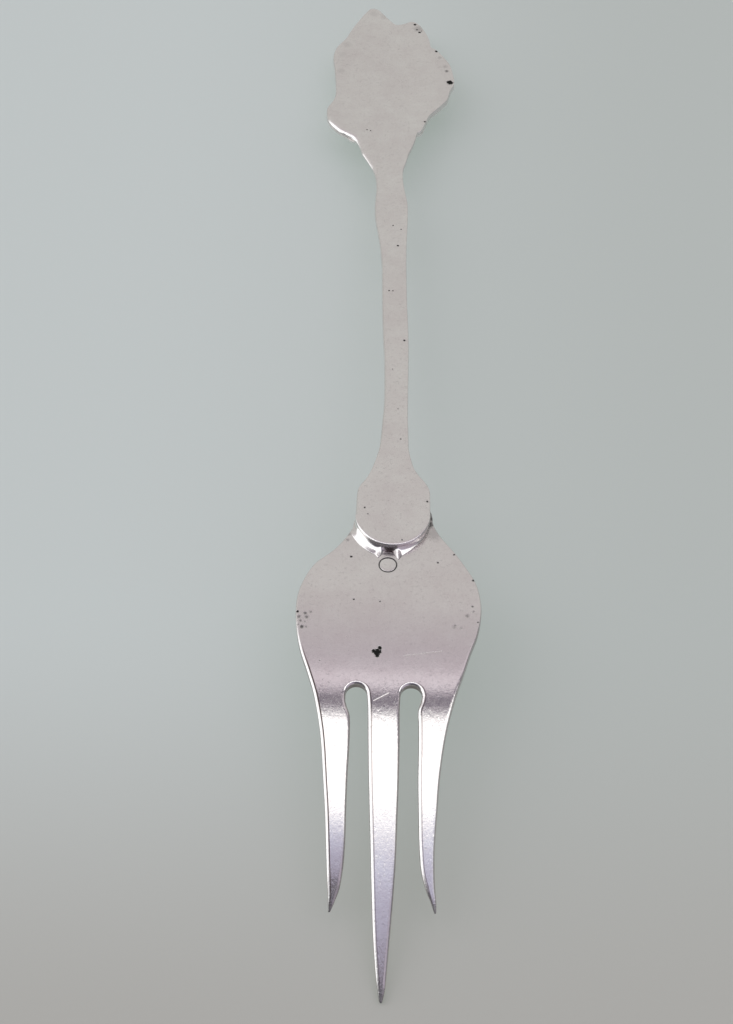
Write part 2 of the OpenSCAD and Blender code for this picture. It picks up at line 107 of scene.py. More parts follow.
# Side of each slot below its keyhole: distance under the hole's middle as a share of
# its diameter, and distance from the middle as a share of half of it
LEFT_HOOK_SHARES = [(0.88, 0.60), (0.58, 0.83), (0.28, 0.98)]
RIGHT_HOOK_SHARES = [(0.88, 0.63), (0.58, 0.70), (0.28, 0.90)]

# Foot of the pad round its middle: direction in degrees, and distance from the middle
# of the handle's round end as a share of half its diameter
PAD_FOOT_SHARES = [
    (-180, 1.00), (-167, 1.08), (-157, 1.17), (-145, 1.18), (-131, 1.19), (-120, 1.20),
    (-113, 1.21), (-109, 1.24), (-106.5, 1.28), (-104.5, 1.21), (-102.5, 1.11), (-99, 1.06),
    (-94, 1.04), (-89, 1.06), (-86, 1.11), (-84, 1.21), (-82, 1.28), (-79.5, 1.23),
    (-76, 1.17), (-67, 1.10), (-53, 1.03), (-38, 1.00), (-26, 0.99), (-13, 0.99), (0, 0.99),
]
# Height of the pad's apron by direction, in degrees and millimetres
PAD_APRON_MM = [
    (-180, 0.10), (-150, 0.36), (-115, 0.30), (-82, 0.42), (-76, 0.41), (-67, 0.29),
    (-53, 0.16), (-38, 0.09), (0, 0.05),
]
# Power with which the pad falls to its foot, by direction
PAD_POWERS = [(-100, 4), (-80, 7), (-40, 7), (0, 4)]
# Directions of the two horns and of the hollow for the pin between them
PAD_HORNS, PAD_HOLLOW = (-106.5, -82), -94

# Handle's shoulders, stem and neck: station, left edge and right edge, first as shares
# of the round end's size, then of the stem's length and width, then of the finial's
# width, with the neck's stations counted back from the flower
SHOULDER_SHARES = [
    (0.00, 1.00, 1.00), (0.29, 0.99, 0.99), (0.41, 0.96, 0.98), (0.50, 0.89, 0.92),
    (0.59, 0.77, 0.81), (0.68, 0.68, 0.68), (0.80, 0.59, 0.55), (0.94, 0.51, 0.47),
    (1.12, 0.43, 0.40),
]
STEM_SHARES = [
    (0.03, 0.56, 0.55), (0.10, 0.50, 0.51), (0.16, 0.46, 0.50), (0.29, 0.50, 0.50),
    (0.39, 0.59, 0.47), (0.50, 0.66, 0.39), (0.62, 0.71, 0.34), (0.70, 0.81, 0.33),
    (0.77, 0.97, 0.35), (0.82, 1.08, 0.36), (0.87, 1.10, 0.33), (0.92, 1.06, 0.20),
    (0.96, 1.09, 0.12),
]
NECK_SHARES = [
    (1.21, 0.21, 0.02), (1.12, 0.25, 0.04), (1.02, 0.30, 0.06), (0.93, 0.328, 0.09),
    (0.85, 0.35, 0.11), (0.78, 0.37, 0.125),
]
# Leafy edge of the finial: direction from the flower's middle, and distance as a
# share of half the finial's width
FINIAL_SHARES = [
    (-68, 1.45), (-62, 1.30), (-54, 1.23), (-41, 1.17), (-33, 1.10), (-27, 1.07),
    (-21, 1.07), (-11, 1.01), (5, 0.94), (20, 0.88), (34, 0.85), (41, 0.83),
    (50, 0.93), (60, 1.06), (70, 1.20), (76, 1.22), (81, 1.14), (87, 1.10),
    (92, 1.19), (97, 1.38), (100, 1.51), (104, 1.55), (109, 1.45), (117, 1.29),
    (126, 1.16), (137, 1.05), (151, 1.03), (165, 0.99), (180, 0.93), (195, 0.94),
    (208, 1.01), (217, 1.11), (222, 1.23), (226, 1.45), (233, 1.62), (242, 1.72),
    (247, 1.75), (252, 1.80), (265, 1.68), (283, 1.60), (288, 1.58),
]
# Last direction of that edge before it runs into the neck's left side
FINIAL_FOOT = 252
# Leaves of the spray: first edge, midrib and last edge, in degrees
LEAF_SPANS = [
    (-72, -50, -29), (-29, 2, 41), (41, 68, 86), (86, 104, 140), (140, 172, 214),
    (214, 236, 256), (256, 271, 288),
]
# Leaves from the flower to their edge: way, and height over the edge as a share
LEAF_RINGS = [(0.00, 1.00), (0.15, 1.10), (0.40, 1.00), (0.65, 0.75), (0.85, 0.40), (1.00, 0.00)]
# Flower: ring's radius, its height, and how far it follows the outer petals
FLOWER_RINGS = [
    (0.40, 1.00, 0.00), (0.56, 0.98, 0.00), (0.63, 0.86, 0.10), (0.67, 0.50, 0.30),
    (0.78, 0.62, 0.60), (0.90, 0.56, 0.90), (1.00, 0.00, 1.00),
]
# Places of the twig's knots along it
TWIG_KNOTS = (0.16, 0.47, 0.82)
# Heel leaf: station along it, half width and depth as shares of its width and depth
HEEL_LEAF_SHARES = [
    (0.00, 0.05, 0.35), (0.08, 0.36, 0.55), (0.18, 0.70, 0.80), (0.30, 0.94, 0.96),
    (0.42, 1.00, 1.00), (0.56, 0.88, 0.98), (0.70, 0.62, 0.92), (0.82, 0.36, 0.86),
    (0.91, 0.24, 0.80), (1.00, 0.20, 0.62),
]

# Pits, stains and darker patches of the two flat backs: X and Y in millimetres, radius,
# and for the fainter ones their strength
HEAD_PITS = [
    (-1.15, -38.0, 0.44), (-0.90, -37.5, 0.26), (-1.52, -37.9, 0.26), (-1.15, -38.45, 0.22),
    (-4.5, -25.2, 0.14), (7.5, -24.6, 0.10), (5.6, -25.8, 0.10), (-4.0, -31.2, 0.11),
    (9.7, -28.2, 0.14), (-1.0, -31.4, 0.08), (-10.4, -33.0, 0.15), (-10.2, -33.7, 0.20, 0.6),
    (-9.5, -33.2, 0.18, 0.7), (-8.9, -33.0, 0.14, 0.5), (-9.3, -33.7, 0.20, 0.6),
    (-10.0, -34.2, 0.16, 0.6), (-9.8, -35.0, 0.20, 0.8), (-9.3, -35.0, 0.14, 0.5),
    (-9.5, -34.3, 0.12, 0.4), (-10.2, -34.7, 0.12, 0.5), (9.6, -31.8, 0.13, 0.7),
    (9.0, -33.1, 0.22, 0.5), (7.6, -34.4, 0.14, 0.5), (8.3, -34.7, 0.16, 0.3),
    (7.5, -34.6, 0.22, 0.3), (9.7, -32.5, 0.14, 0.4), (-7.6, -39.2, 0.07, 0.7),
    # The next four are darker brown patches on the head beside the right side of the round end
    (4.6, -20.3, 0.5, 0.8), (4.85, -19.4, 0.45, 0.8), (4.8, -18.8, 0.4, 0.7),
    (5.1, -21.6, 0.9, 0.25), (-4.9, -21.9, 0.24, 0.35), (-5.0, -22.8, 0.18, 0.35),
    (10.2, -33.9, 0.08), (-0.1, -75.0, 1.4, 0.6), (-5.75, -66.1, 1.2, 0.6),
    (-5.0, -64.2, 1.1, 0.35), (5.85, -66.1, 1.0, 0.6),
]
HANDLE_PITS = [
    (-3.5, -23.4, 0.09), (1.4, -23.4, 0.09), (4.3, -17.7, 0.13), (-3.1, -18.8, 0.11),
    (-2.7, -19.7, 0.08), (1.0, -8.2, 0.09), (1.2, 8.0, 0.14), (-0.9, 16.7, 0.10),
    (-0.4, 16.7, 0.09), (0.1, 25.0, 0.14), (-0.6, 28.8, 0.09), (0.5, 28.1, 0.10),
    (1.9, 71.4, 0.20), (2.2, 70.2, 0.14), (2.6, 69.6, 0.18), (2.9, 69.9, 0.10),
    (5.1, 65.3, 0.20), (6.6, 60.9, 0.25, 0.6), (7.1, 58.4, 0.46), (3.5, 49.8, 0.14),
    (2.4, 70.4, 0.6, 0.25), (-8.0, 66.5, 0.6, 0.10), (-8.6, 64.2, 0.5, 0.08), (-8.7, 60.5, 0.5, 0.10),
    (-2.6, 73.2, 0.6, 0.12), (-4.2, 73.8, 0.6, 0.10), (5.6, 63.9, 0.3, 0.2), (6.4, 61.9, 0.3, 0.2),
    (-4.6, 47.9, 0.09), (-4.1, 47.7, 0.10), (0.6, -3.4, 0.06), (-0.2, 3.1, 0.06),
]
# Long scratches of the head's back: from X and Y to X and Y, in millimetres
SCRATCHES = [(1.8, -38.4, 6.2, -37.7), (-1.4, -43.9, 0.2, -43.0)]

# Light of the room, in degrees over the far horizon up to the near one
ROOM = [
    (0, "#a9a8a6"), (25, "#bfbebc"), (46, "#c4c3c1"), (52, "#c8c5c4"), (58, "#bab4b6"),
    (63, "#b3acb1"), (67, "#b1a9b0"), (71, "#dcd3da"), (76, "#e4dbe3"), (77.7, "#857f8b"),
    (79.2, "#524b59"), (81.2, "#574f5d"), (82.8, "#88808d"), (84.8, "#a39ba7"), (86, "#ffffff"),
    (97, "#ffffff"), (98, "#f4f5fc"), (99.5, "#e2e4f4"), (102, "#c9c9df"), (105, "#b5b3c8"),
    (108, "#b3b1c5"), (111, "#98909f"), (113.5, "#666069"), (120, "#55535a"), (125, "#55535a"),
    (150, "#5e5d62"), (180, "#7a7a7c"),
]
# Edges of the lamp overhead, as shares of that half turn: where it ends and is full
LAMP_EDGES = [(0.474, 0.485), (0.545, 0.530)]
LAMP_LIGHT = (1.6, 1.6, 1.6, 1.0)
# Parts of the room on top of that: strength, edges as an axis of the direction with where
# the part ends and where it is full, and light. They are a window on the left, nearer
# than the far wall, shade low on the right, and a pale wall on the near right, which
# lights the pad's right side
ROOM_PARTS = [
    (1.00, [("Y", 0.45, 0.30), ("Y", -0.45, -0.20), ("X", -0.30, -0.45)], (1.4, 1.42, 1.45, 1.0)),
    (0.85, [("X", 0.60, 0.85)], (0.16, 0.16, 0.17, 1.0)),
    (1.00, [("X", 0.15, 0.32), ("Y", -0.15, -0.35)], (0.42, 0.38, 0.45, 1.0)),
]
# Plain backdrop that the camera sees past the table
BACKDROP = "#c9cfcd"
# Camera: place in millimetres, tilt and turn in degrees, and focal length in millimetres,
# which is 1800 pixels on a frame 1024 pixels high
CAMERA_MM, CAMERA_TURN, CAMERA_LENS = (0.2274, -135.146, 188.584), (33.0, 0.0, 1.535), 63.28


def linear(code):
    """A colour written as sRGB hex, turned to linear light, with full alpha."""
    parts = [int(code[i:i + 2], 16) / 255 for i in (1, 3, 5)]
    return [c / 12.92 if c <= 0.04045 else ((c + 0.055) / 1.055) ** 2.4 for c in parts] + [1.0]


def length(mm, name, description, least=0.0):
    """A length property that shows in the scene's units, from millimetres."""
    return FloatProperty(
        name=name, description=description, default=mm * MM, min=least, unit="LENGTH", precision=5)


def offset(mm, name, description):
    """A length property that may also be negative, down to a metre, from millimetres."""
    return length(mm, name, description, -1.0)


def angle(degrees, name, description):
    """An angle property, from degrees."""
    return FloatProperty(name=name, description=description, default=math.radians(degrees), subtype="ANGLE")


def factor(value, name, description):
    """A property from nothing to one."""
    return FloatProperty(
        name=name, description=description, default=value, min=0.0, max=1.0, subtype="FACTOR")


def colour(code, name, description):
    """A colour property, from sRGB hex."""
    return FloatVectorProperty(
        name=name, description=description, default=linear(code), size=4, min=0.0, max=1.0, subtype="COLOR")


class ForkSizes(bpy.types.PropertyGroup):
    """Sizes of the fork's pieces."""

    head_w: length(21.2, "Head width", "Greatest width of the head")
    head_t: length(1.25, "Head thickness", "Thickness of the head's plate")
    crown_l: length(10.5, "Crown length", "From the bend at the tines to the flat heel")
    heel_l: length(3.4, "Heel length", "From the crown to the pin")
    heel_tilt: angle(4.2, "Heel tilt", "Fall of the heel and the handle")
    crown_angle: angle(3.5, "Crown angle", "Slope where the crown meets the bend")
    tine_l: length(31.85, "Tine length", "Centre tine, from its tip to the keyholes")
    tine_w: length(3.6, "Tine width", "Centre tine at its root")
    side_tine_back: length(8.9, "Side tines back", "How far the side tines end before the centre one")
    droop_l: length(10.5, "Droop length", "End of the side tines that droops more than the centre one")
    left_droop: angle(5.7, "Left droop", "Added slope at the left tine's tip")
    right_droop: angle(1.5, "Right droop", "Added slope at the right tine's tip")
    side_tine_w: length(3.5, "Side tine width", "Side tine at its root")
    keyhole_d: length(2.4, "Keyhole diameter", "Hole at the top of each slot")
    bend_l: length(6.0, "Bend length", "Bend across the roots of the tines")
    root_angle: angle(12.0, "Root angle", "Slope of the tines at their roots")
    tip_angle: angle(21.0, "Tip angle", "Slope of the tines at their tips")
    tip_t: length(0.65, "Tip thickness", "Thickness of the tines at their tips")
    head_round: length(0.42, "Head edge", "Width of the worn round along the tines' edges")
    pin_d: length(1.96, "Pin diameter", "Flush pin at the heel")
    pin_seat: length(0.45, "Pin seat", "Depth of the pin in the front leaf")
    pin_x: offset(-0.2, "Pin place", "Sideways place of the pin")
    pad_t: length(0.6, "Pad height", "Height of the sloping pad")
    plate_t: length(0.6, "Handle thickness", "Thickness of the handle's back plate")
    plate_round: length(0.15, "Handle edge", "Width of the worn round along the handle's edges")
    disc_d: length(8.85, "Round end", "Diameter of the handle's round end")
    disc_gap: length(2.0, "Round end gap", "From the pin to the edge of the round end")
    disc_x: offset(0.25, "Round end place", "Sideways place of the round end")
    stem_w: length(3.1, "Stem width", "Width of the stem")
    stem_l: length(81.4, "Stem length", "From the round end to the flower")
    twig_h: length(1.7, "Twig depth", "Half-round twig on the stem's front")
    twig_margin: length(0.2, "Twig margin", "Bare plate on each side of the twig")
    finial_w: length(18.0, "Finial width", "Width across the leaves")
    finial_x: offset(-1.58, "Finial place", "Sideways place of the flower from the round end")
    leaf_t: length(0.95, "Leaf thickness", "Leaves under the flower")
    leaf_edge_t: length(0.35, "Leaf edge", "Leaves at their edge")
    flower_d: length(12.4, "Flower diameter", "Across the outer petals")
    petal_h: length(1.75, "Petal height", "Petals over the leaves")
    petal_edge_t: length(0.45, "Petal edge", "Petals at their edge")
    heart_d: length(4.6, "Heart diameter", "Heart of the flower")
    heart_filed: length(0.45, "Heart filed", "Height filed off where the fork rests")
    heel_leaf_w: length(5.2, "Heel leaf width", "Leaf on the front of the heel")
    heel_leaf_t: length(1.15, "Heel leaf thickness", "Thickness of that leaf")


class ForkFinish(bpy.types.PropertyGroup):
    """Colours and finish of the silver and the table."""

    silver: colour("#f9f7f4", "Silver", "Bare polished silver")
    film: colour("#ebe4e3", "Film", "Silver under a thin film of tarnish")
    # Painted shade on the plates' walls; the painted shade line inside the tines' left edges takes this
    # colour too
    wall_shade: colour("#8d807e", "Edge", "Cut edges, which the polish doesn't reach")
    corner: colour("#4a2f33", "Corner", "Stain in the pad's hollows, which the polish doesn't reach")
    # Also the dark core of the painted shade line inside the tines' left edges
    tarnish: colour("#2f302e", "Tarnish", "Dark sulphide in pits and corners")
    rubbed: factor(0.20, "Rubbed roughness", "Flat backs, rubbed by hand")
    polished: factor(0.11, "Polished roughness", "Tines and pad")
    cast: factor(0.30, "Cast roughness", "Relief of the front")
    table_left: colour("#dfe6e5", "Table, left", "Frosted glass where the light falls")
    table_right: colour("#d0d6d3", "Table, right", "Frosted glass away from the light")
    table_near: colour("#c5c4bf", "Table, near", "Frosted glass at the near side")
    table_glow: factor(0.42, "Table glow", "Share of light that comes through the glass from under it")


def smooth(rows, steps=8, ring=False):
    """Catmull-Rom line through the rows: each stretch is the cubic that leaves and meets
    its two ends along the line between their neighbours."""
    p = np.asarray(rows, float)
    if ring:
        a, b, c, d = np.roll(p, 1, 0), p, np.roll(p, -1, 0), np.roll(p, -2, 0)
    else:
        a, b, c, d = np.vstack([p[:1], p[:-2]]), p[:-1], p[1:], np.vstack([p[2:], p[-1:]])
    t = (np.arange(steps) / steps)[None, :, None]
    a, b, c, d = a[:, None], b[:, None], c[:, None], d[:, None]
    square, cube = 2 * a - 5 * b + 4 * c - d, 3 * b - a - 3 * c + d
    line = (2 * b + (c - a) * t + square * t ** 2 + cube * t ** 3) / 2
    line = line.reshape(-1, p.shape[1])
    return line if ring else np.vstack([line, p[-1:]])


def rays(turn):
    """Unit directions in plan, from angles in radians."""
    return np.stack([np.cos(turn), np.sin(turn)], -1)


def spaced(points, count):
    """The same line as count + 1 points at even steps of its length."""
    run = np.concatenate([[0], np.cumsum(np.linalg.norm(np.diff(points, axis=0), axis=1))])
    at = np.linspace(0, run[-1], count + 1)
    return np.stack([np.interp(at, run, points[:, k]) for k in range(points.shape[1])], -1)


def between(left, right, shares):
    """Straight rows from each point of the left edge to that of the right edge, with
    points at the given shares of the way."""
    u = shares[None, :, None]
    return left[:, None] * (1 - u) + right[:, None] * u


def fan(loop, middle):
    """Rings that shrink evenly from a closed outline to a point in its middle."""
    t = np.linspace(0, 1, 7)[:, None, None]
    return loop[None] * (1 - t) + np.array(middle) * t


def outward(loop):
    """Unit normals of a closed plan outline that runs anticlockwise."""
    along = np.roll(loop, -1, 0) - np.roll(loop, 1, 0)
    normal = np.stack([along[:, 1], -along[:, 0]], -1)
    return normal / np.linalg.norm(normal, axis=1, keepdims=True)


def sheet_patches(loop, worn, low, shade_and_tarnish_tone, shade_line, thickness, grids, place, aim):
    """A plate of the given outline: its two faces on the same plan grids, and a wall whose
    upper edge is a quarter of an ellipse, as wide as worn, and whose lower edge is a
    quarter round. Painted shade, as strong as shade_and_tarnish_tone, covers the wall and
    fades out in the last degrees of the upper edge, and the painted shade line, shade_line,
    in its first ones. At plan points, thickness gives the plate's, place turns a depth into
    a point in space, and aim turns a plan normal and an upward share into a direction.
    grids gives the faces' plan grids inside the inset outline, each with whether it closes on itself."""
    normal = outward(loop)
    inset = loop - worn[:, None] * normal
    turns = np.radians(np.linspace(0, 90, 8))
    tall = np.minimum(worn * EDGE_DEPTH, thickness(loop) * EDGE_MOST)
    lean = (tall / worn)[:, None]
    low = np.minimum(low, np.minimum(worn, (thickness(loop) - tall) * LOWER_MOST))
    # Painted shade over the whole wall
    walls = shade_and_tarnish_tone + 0 * shade_line
    rows = []
    for a in turns:
        tip, turn = np.hypot(np.sin(a) * lean, np.cos(a)), math.degrees(a)
        shade_faded, line_faded = max(0.0, 1 - (90 - turn) / WALL_SHADE_TURN), max(0.0, 1 - turn / SHADE_LINE_TURN)
        rows.append((
            place(inset + (worn * np.sin(a))[:, None] * normal, tall * (1 - np.cos(a))),
            aim(loop, normal * np.sin(a) * lean / tip, (np.cos(a) / tip)[:, 0]),
            shade_and_tarnish_tone * shade_faded + shade_line * line_faded))
    for a in turns[::-1]:
        side = (worn - low * (1 - np.sin(a)))[:, None] * normal
        rows.append((
            place(inset + side, thickness(loop) - low * (1 - np.cos(a))),
            aim(loop, normal * np.sin(a), -np.cos(a)), walls))
    rows.append((place(inset, thickness(loop)), aim(loop, normal * 0, -1.0), walls))
    points, sights, shade_and_tarnish_share = (np.array(part)[::-1] for part in zip(*rows))
    patches = [(points, sights, True, shade_and_tarnish_share)]
    for grid, closed in grids(inset):
        flat = grid.reshape(-1, 2)
        for depth, up in ((0 * thickness(flat), 1), (thickness(flat), -1)):
            face = place(flat, depth).reshape(*grid.shape[:2], 3)
            sight = aim(flat, 0 * flat, up).reshape(face.shape)
            patches.append((face[:, ::up], sight[:, ::up], closed, None))
    return patches


def weld(patches):
    """Joins grids into one skin: points at the same place become one, and a four-sided
    face that has lost a corner becomes a triangle."""
    points, normals, worn, faces, start = [], [], [], [], 0
    for grid, normal, closed, shade_and_tarnish_share in patches:
        rows, columns = grid.shape[:2]
        index = start + np.arange(rows * columns).reshape(rows, columns)
        if closed:
            index = np.hstack([index, index[:, :1]])
        corners = [index[:-1, :-1], index[:-1, 1:], index[1:, 1:], index[1:, :-1]]
        faces.append(np.stack(corners, -1).reshape(-1, 4))
        points.append(grid.reshape(-1, 3))
        normals.append(np.zeros((rows * columns, 3)) if normal is None else normal.reshape(-1, 3))
        # worn here holds each point's share of painted shade and, on the pad, of tarnish in its hollow
        worn.append(np.zeros(rows * columns) if shade_and_tarnish_share is None else shade_and_tarnish_share.reshape(-1))
        start += rows * columns
    points, normals, worn = (np.concatenate(part) for part in (points, normals, worn))
    cells = np.round(points / WELD).astype(np.int64)
    first, same = np.unique(cells, axis=0, return_index=True, return_inverse=True)[1:]
    points, normals, worn = points[first], normals[first], worn[first]
    faces = same.reshape(-1)[np.vstack(faces)]
    kept = faces != np.roll(faces, 1, axis=1)
    count = kept.sum(1)
    quads = faces[count == 4]
    triangles = faces[count == 3][kept[count == 3]].reshape(-1, 3)
    halves = np.vstack([quads[:, :3], quads[:, [0, 2, 3]], triangles])
    a, b, c = (points[halves[:, k]] for k in range(3))
    if np.einsum("ij,ij->i", a, np.cross(b, c)).sum() < 0:
        quads, triangles = quads[:, ::-1], triangles[:, ::-1]
    return points, normals, worn, quads, triangles


def add_piece(name, node, material, patches, sharp=None):
    """Makes one piece of the fork from its grids, in the place of its node. Its shading
    follows the grids' own normals, or is smooth up to the sharp angle."""
    points, normals, worn, quads, triangles = weld(patches)
    mesh = bpy.data.meshes.new(name)
    mesh.from_pydata(points.tolist(), [], quads.tolist() + triangles.tolist())
    mesh.attributes.new("shade_and_tarnish_share", "FLOAT", "POINT").data.foreach_set("value", worn)
    mesh.shade_smooth()
    if sharp is None:
        mesh.normals_split_custom_set_from_vertices(normals.tolist())
    else:
        mesh.set_sharp_from_angle(angle=math.radians(sharp))
    mesh.materials.append(material)
    piece = bpy.data.objects.new(name, mesh)
    bpy.context.scene.collection.objects.link(piece)
    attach(piece, "root")
    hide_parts(node)
    return piece


def tube(rows):
    """A closed skin from closed sections carried along a path, with both ends shut by
    drawing the section together in its middle."""
    ends = [np.repeat(rows[k].mean(0)[None], rows.shape[1], 0) for k in (0, -1)]
    return [(np.concatenate([ends[0][None], rows, ends[1][None]]), None, True, None)]


def bend_line(s):
    """Station, height and slope of the head's back: the slope changes evenly between the
    named stations, and the height is its running sum from the tip."""
    bend_start = s.tine_l - s.bend_l / 2
    stations = np.cumsum([0, bend_start, s.bend_l, s.crown_l, 2 * s.head_w])
    y = np.linspace(0, stations[-1], 2400)
    slope = np.interp(y, stations, [s.tip_angle, s.root_angle, s.crown_angle, -s.heel_tilt, -s.heel_tilt])
    rise = np.tan((slope[1:] + slope[:-1]) / 2) * np.diff(y)
    return y, s.tip_t * math.cos(s.tip_angle) + np.concatenate([[0], np.cumsum(rise)]), slope


def finial_edge(s):
    """The finial's closed outline round the flower, from directions and distances."""
    shares = np.array(FINIAL_SHARES)
    return shares[:, 1:] * s.finial_w / 2 * rays(np.radians(shares[:, 0]))


def pin_station(s):
    """Distance of the pin from the centre tine's tip."""
    return s.tine_l + s.bend_l / 2 + s.crown_l + s.heel_l


def overall_length(s):
    """Length of the fork over all, on which it is centred."""
    top = smooth(finial_edge(s), 3, ring=True)[:, 1].max()
    along = s.disc_gap + s.disc_d / 2 + s.stem_l + top
    return pin_station(s) + along * math.cos(s.heel_tilt) + (s.pad_t + s.plate_t) * math.sin(s.heel_tilt)


def on_heel(s, points):
    """Points given from the pin on the head's back, with Z square to the handle, in the
    fork's frame."""
    y, z, _ = bend_line(s)
    start = np.array([s.pin_x, pin_station(s) - overall_length(s) / 2, np.interp(pin_station(s), y, z)])
    c, d = math.cos(s.heel_tilt), math.sin(s.heel_tilt)
    axes = np.array([[1, 0, 0], [0, c, -d], [0, d, c]])
    return start + np.asarray(points) @ axes


def on_plate_front(s, points):
    """Points given from the middle of the round end on the plate's front face."""
    return on_heel(s, np.asarray(points) + [s.disc_x - s.pin_x, s.disc_gap + s.disc_d / 2, s.pad_t])


def head_edges(s):
    """Plan of the head from its tip: stations, left edge and right edge of the three
    tines, the blade's two outer lines, and the keyholes and round tab at their ends."""
    half = s.head_w / 2
    hole = s.keyhole_d / 2
    side_l = s.tine_l - s.side_tine_back
    blade_l = pin_station(s) - s.tine_l
    blade = [(s.tine_l + a * blade_l, -b * half, c * half) for a, b, c in BLADE_SHARES]

    def side_tine(shares, hooks, hand, middle):
        outer = [(s.side_tine_back + a * side_l, hand * b * half) for a, b, _ in shares]
        outer_line = smooth(outer + [(r[0], r[1 if hand < 0 else 2]) for r in blade[1:]], 16)
        inner = [
            (s.side_tine_back + a * side_l, hand * (b * half - w * s.side_tine_w)) for a, b, w in shares[:-1]]
        inner += [(s.tine_l - a * s.keyhole_d, middle + hand * b * hole) for a, b in hooks]
        inner = smooth(inner + [(s.tine_l, middle + hand * hole)], 8)
        outer = np.interp(inner[:, 0], outer_line[:, 0], outer_line[:, 1])
        return (inner[:, 0], *(outer, inner[:, 1])[::-hand]), outer_line

    middles = [k * half for k in KEYHOLE_SHARES]
    left, left_line = side_tine(LEFT_TINE_SHARES, LEFT_HOOK_SHARES, -1, middles[0])
    right, right_line = side_tine(RIGHT_TINE_SHARES, RIGHT_HOOK_SHARES, 1, middles[1])
    centre = [(a * s.tine_l, -b * s.tine_w, c * s.tine_w) for a, b, c in CENTRE_TINE_SHARES]
    centre = smooth(centre + [(s.tine_l, middles[0] + hole, middles[1] - hole)], 8)
    holes = [(middle, s.tine_l, hole) for middle in middles]
    tab = ((blade[-1][1] + blade[-1][2]) / 2, blade[-1][0], np.mean([-blade[-1][1], blade[-1][2]]))
    return (left, centre.T, right), (left_line, right_line), holes, tab


def turned(normal, up, slope):
    """Directions given by a plan normal and an upward share, on a face of that slope."""
    y = normal[:, 1] * np.cos(slope) - up * np.sin(slope)
    return np.stack([normal[:, 0], y, normal[:, 1] * np.sin(slope) + up * np.cos(slope)], -1)


def stretches(inset, cuts):
    """The stretches of a closed outline, each with the first point of the next one."""
    sides = np.split(inset, cuts[:-1])
    return [np.vstack([a, b[:1]]) for a, b in zip(sides, sides[1:] + sides[:1])]


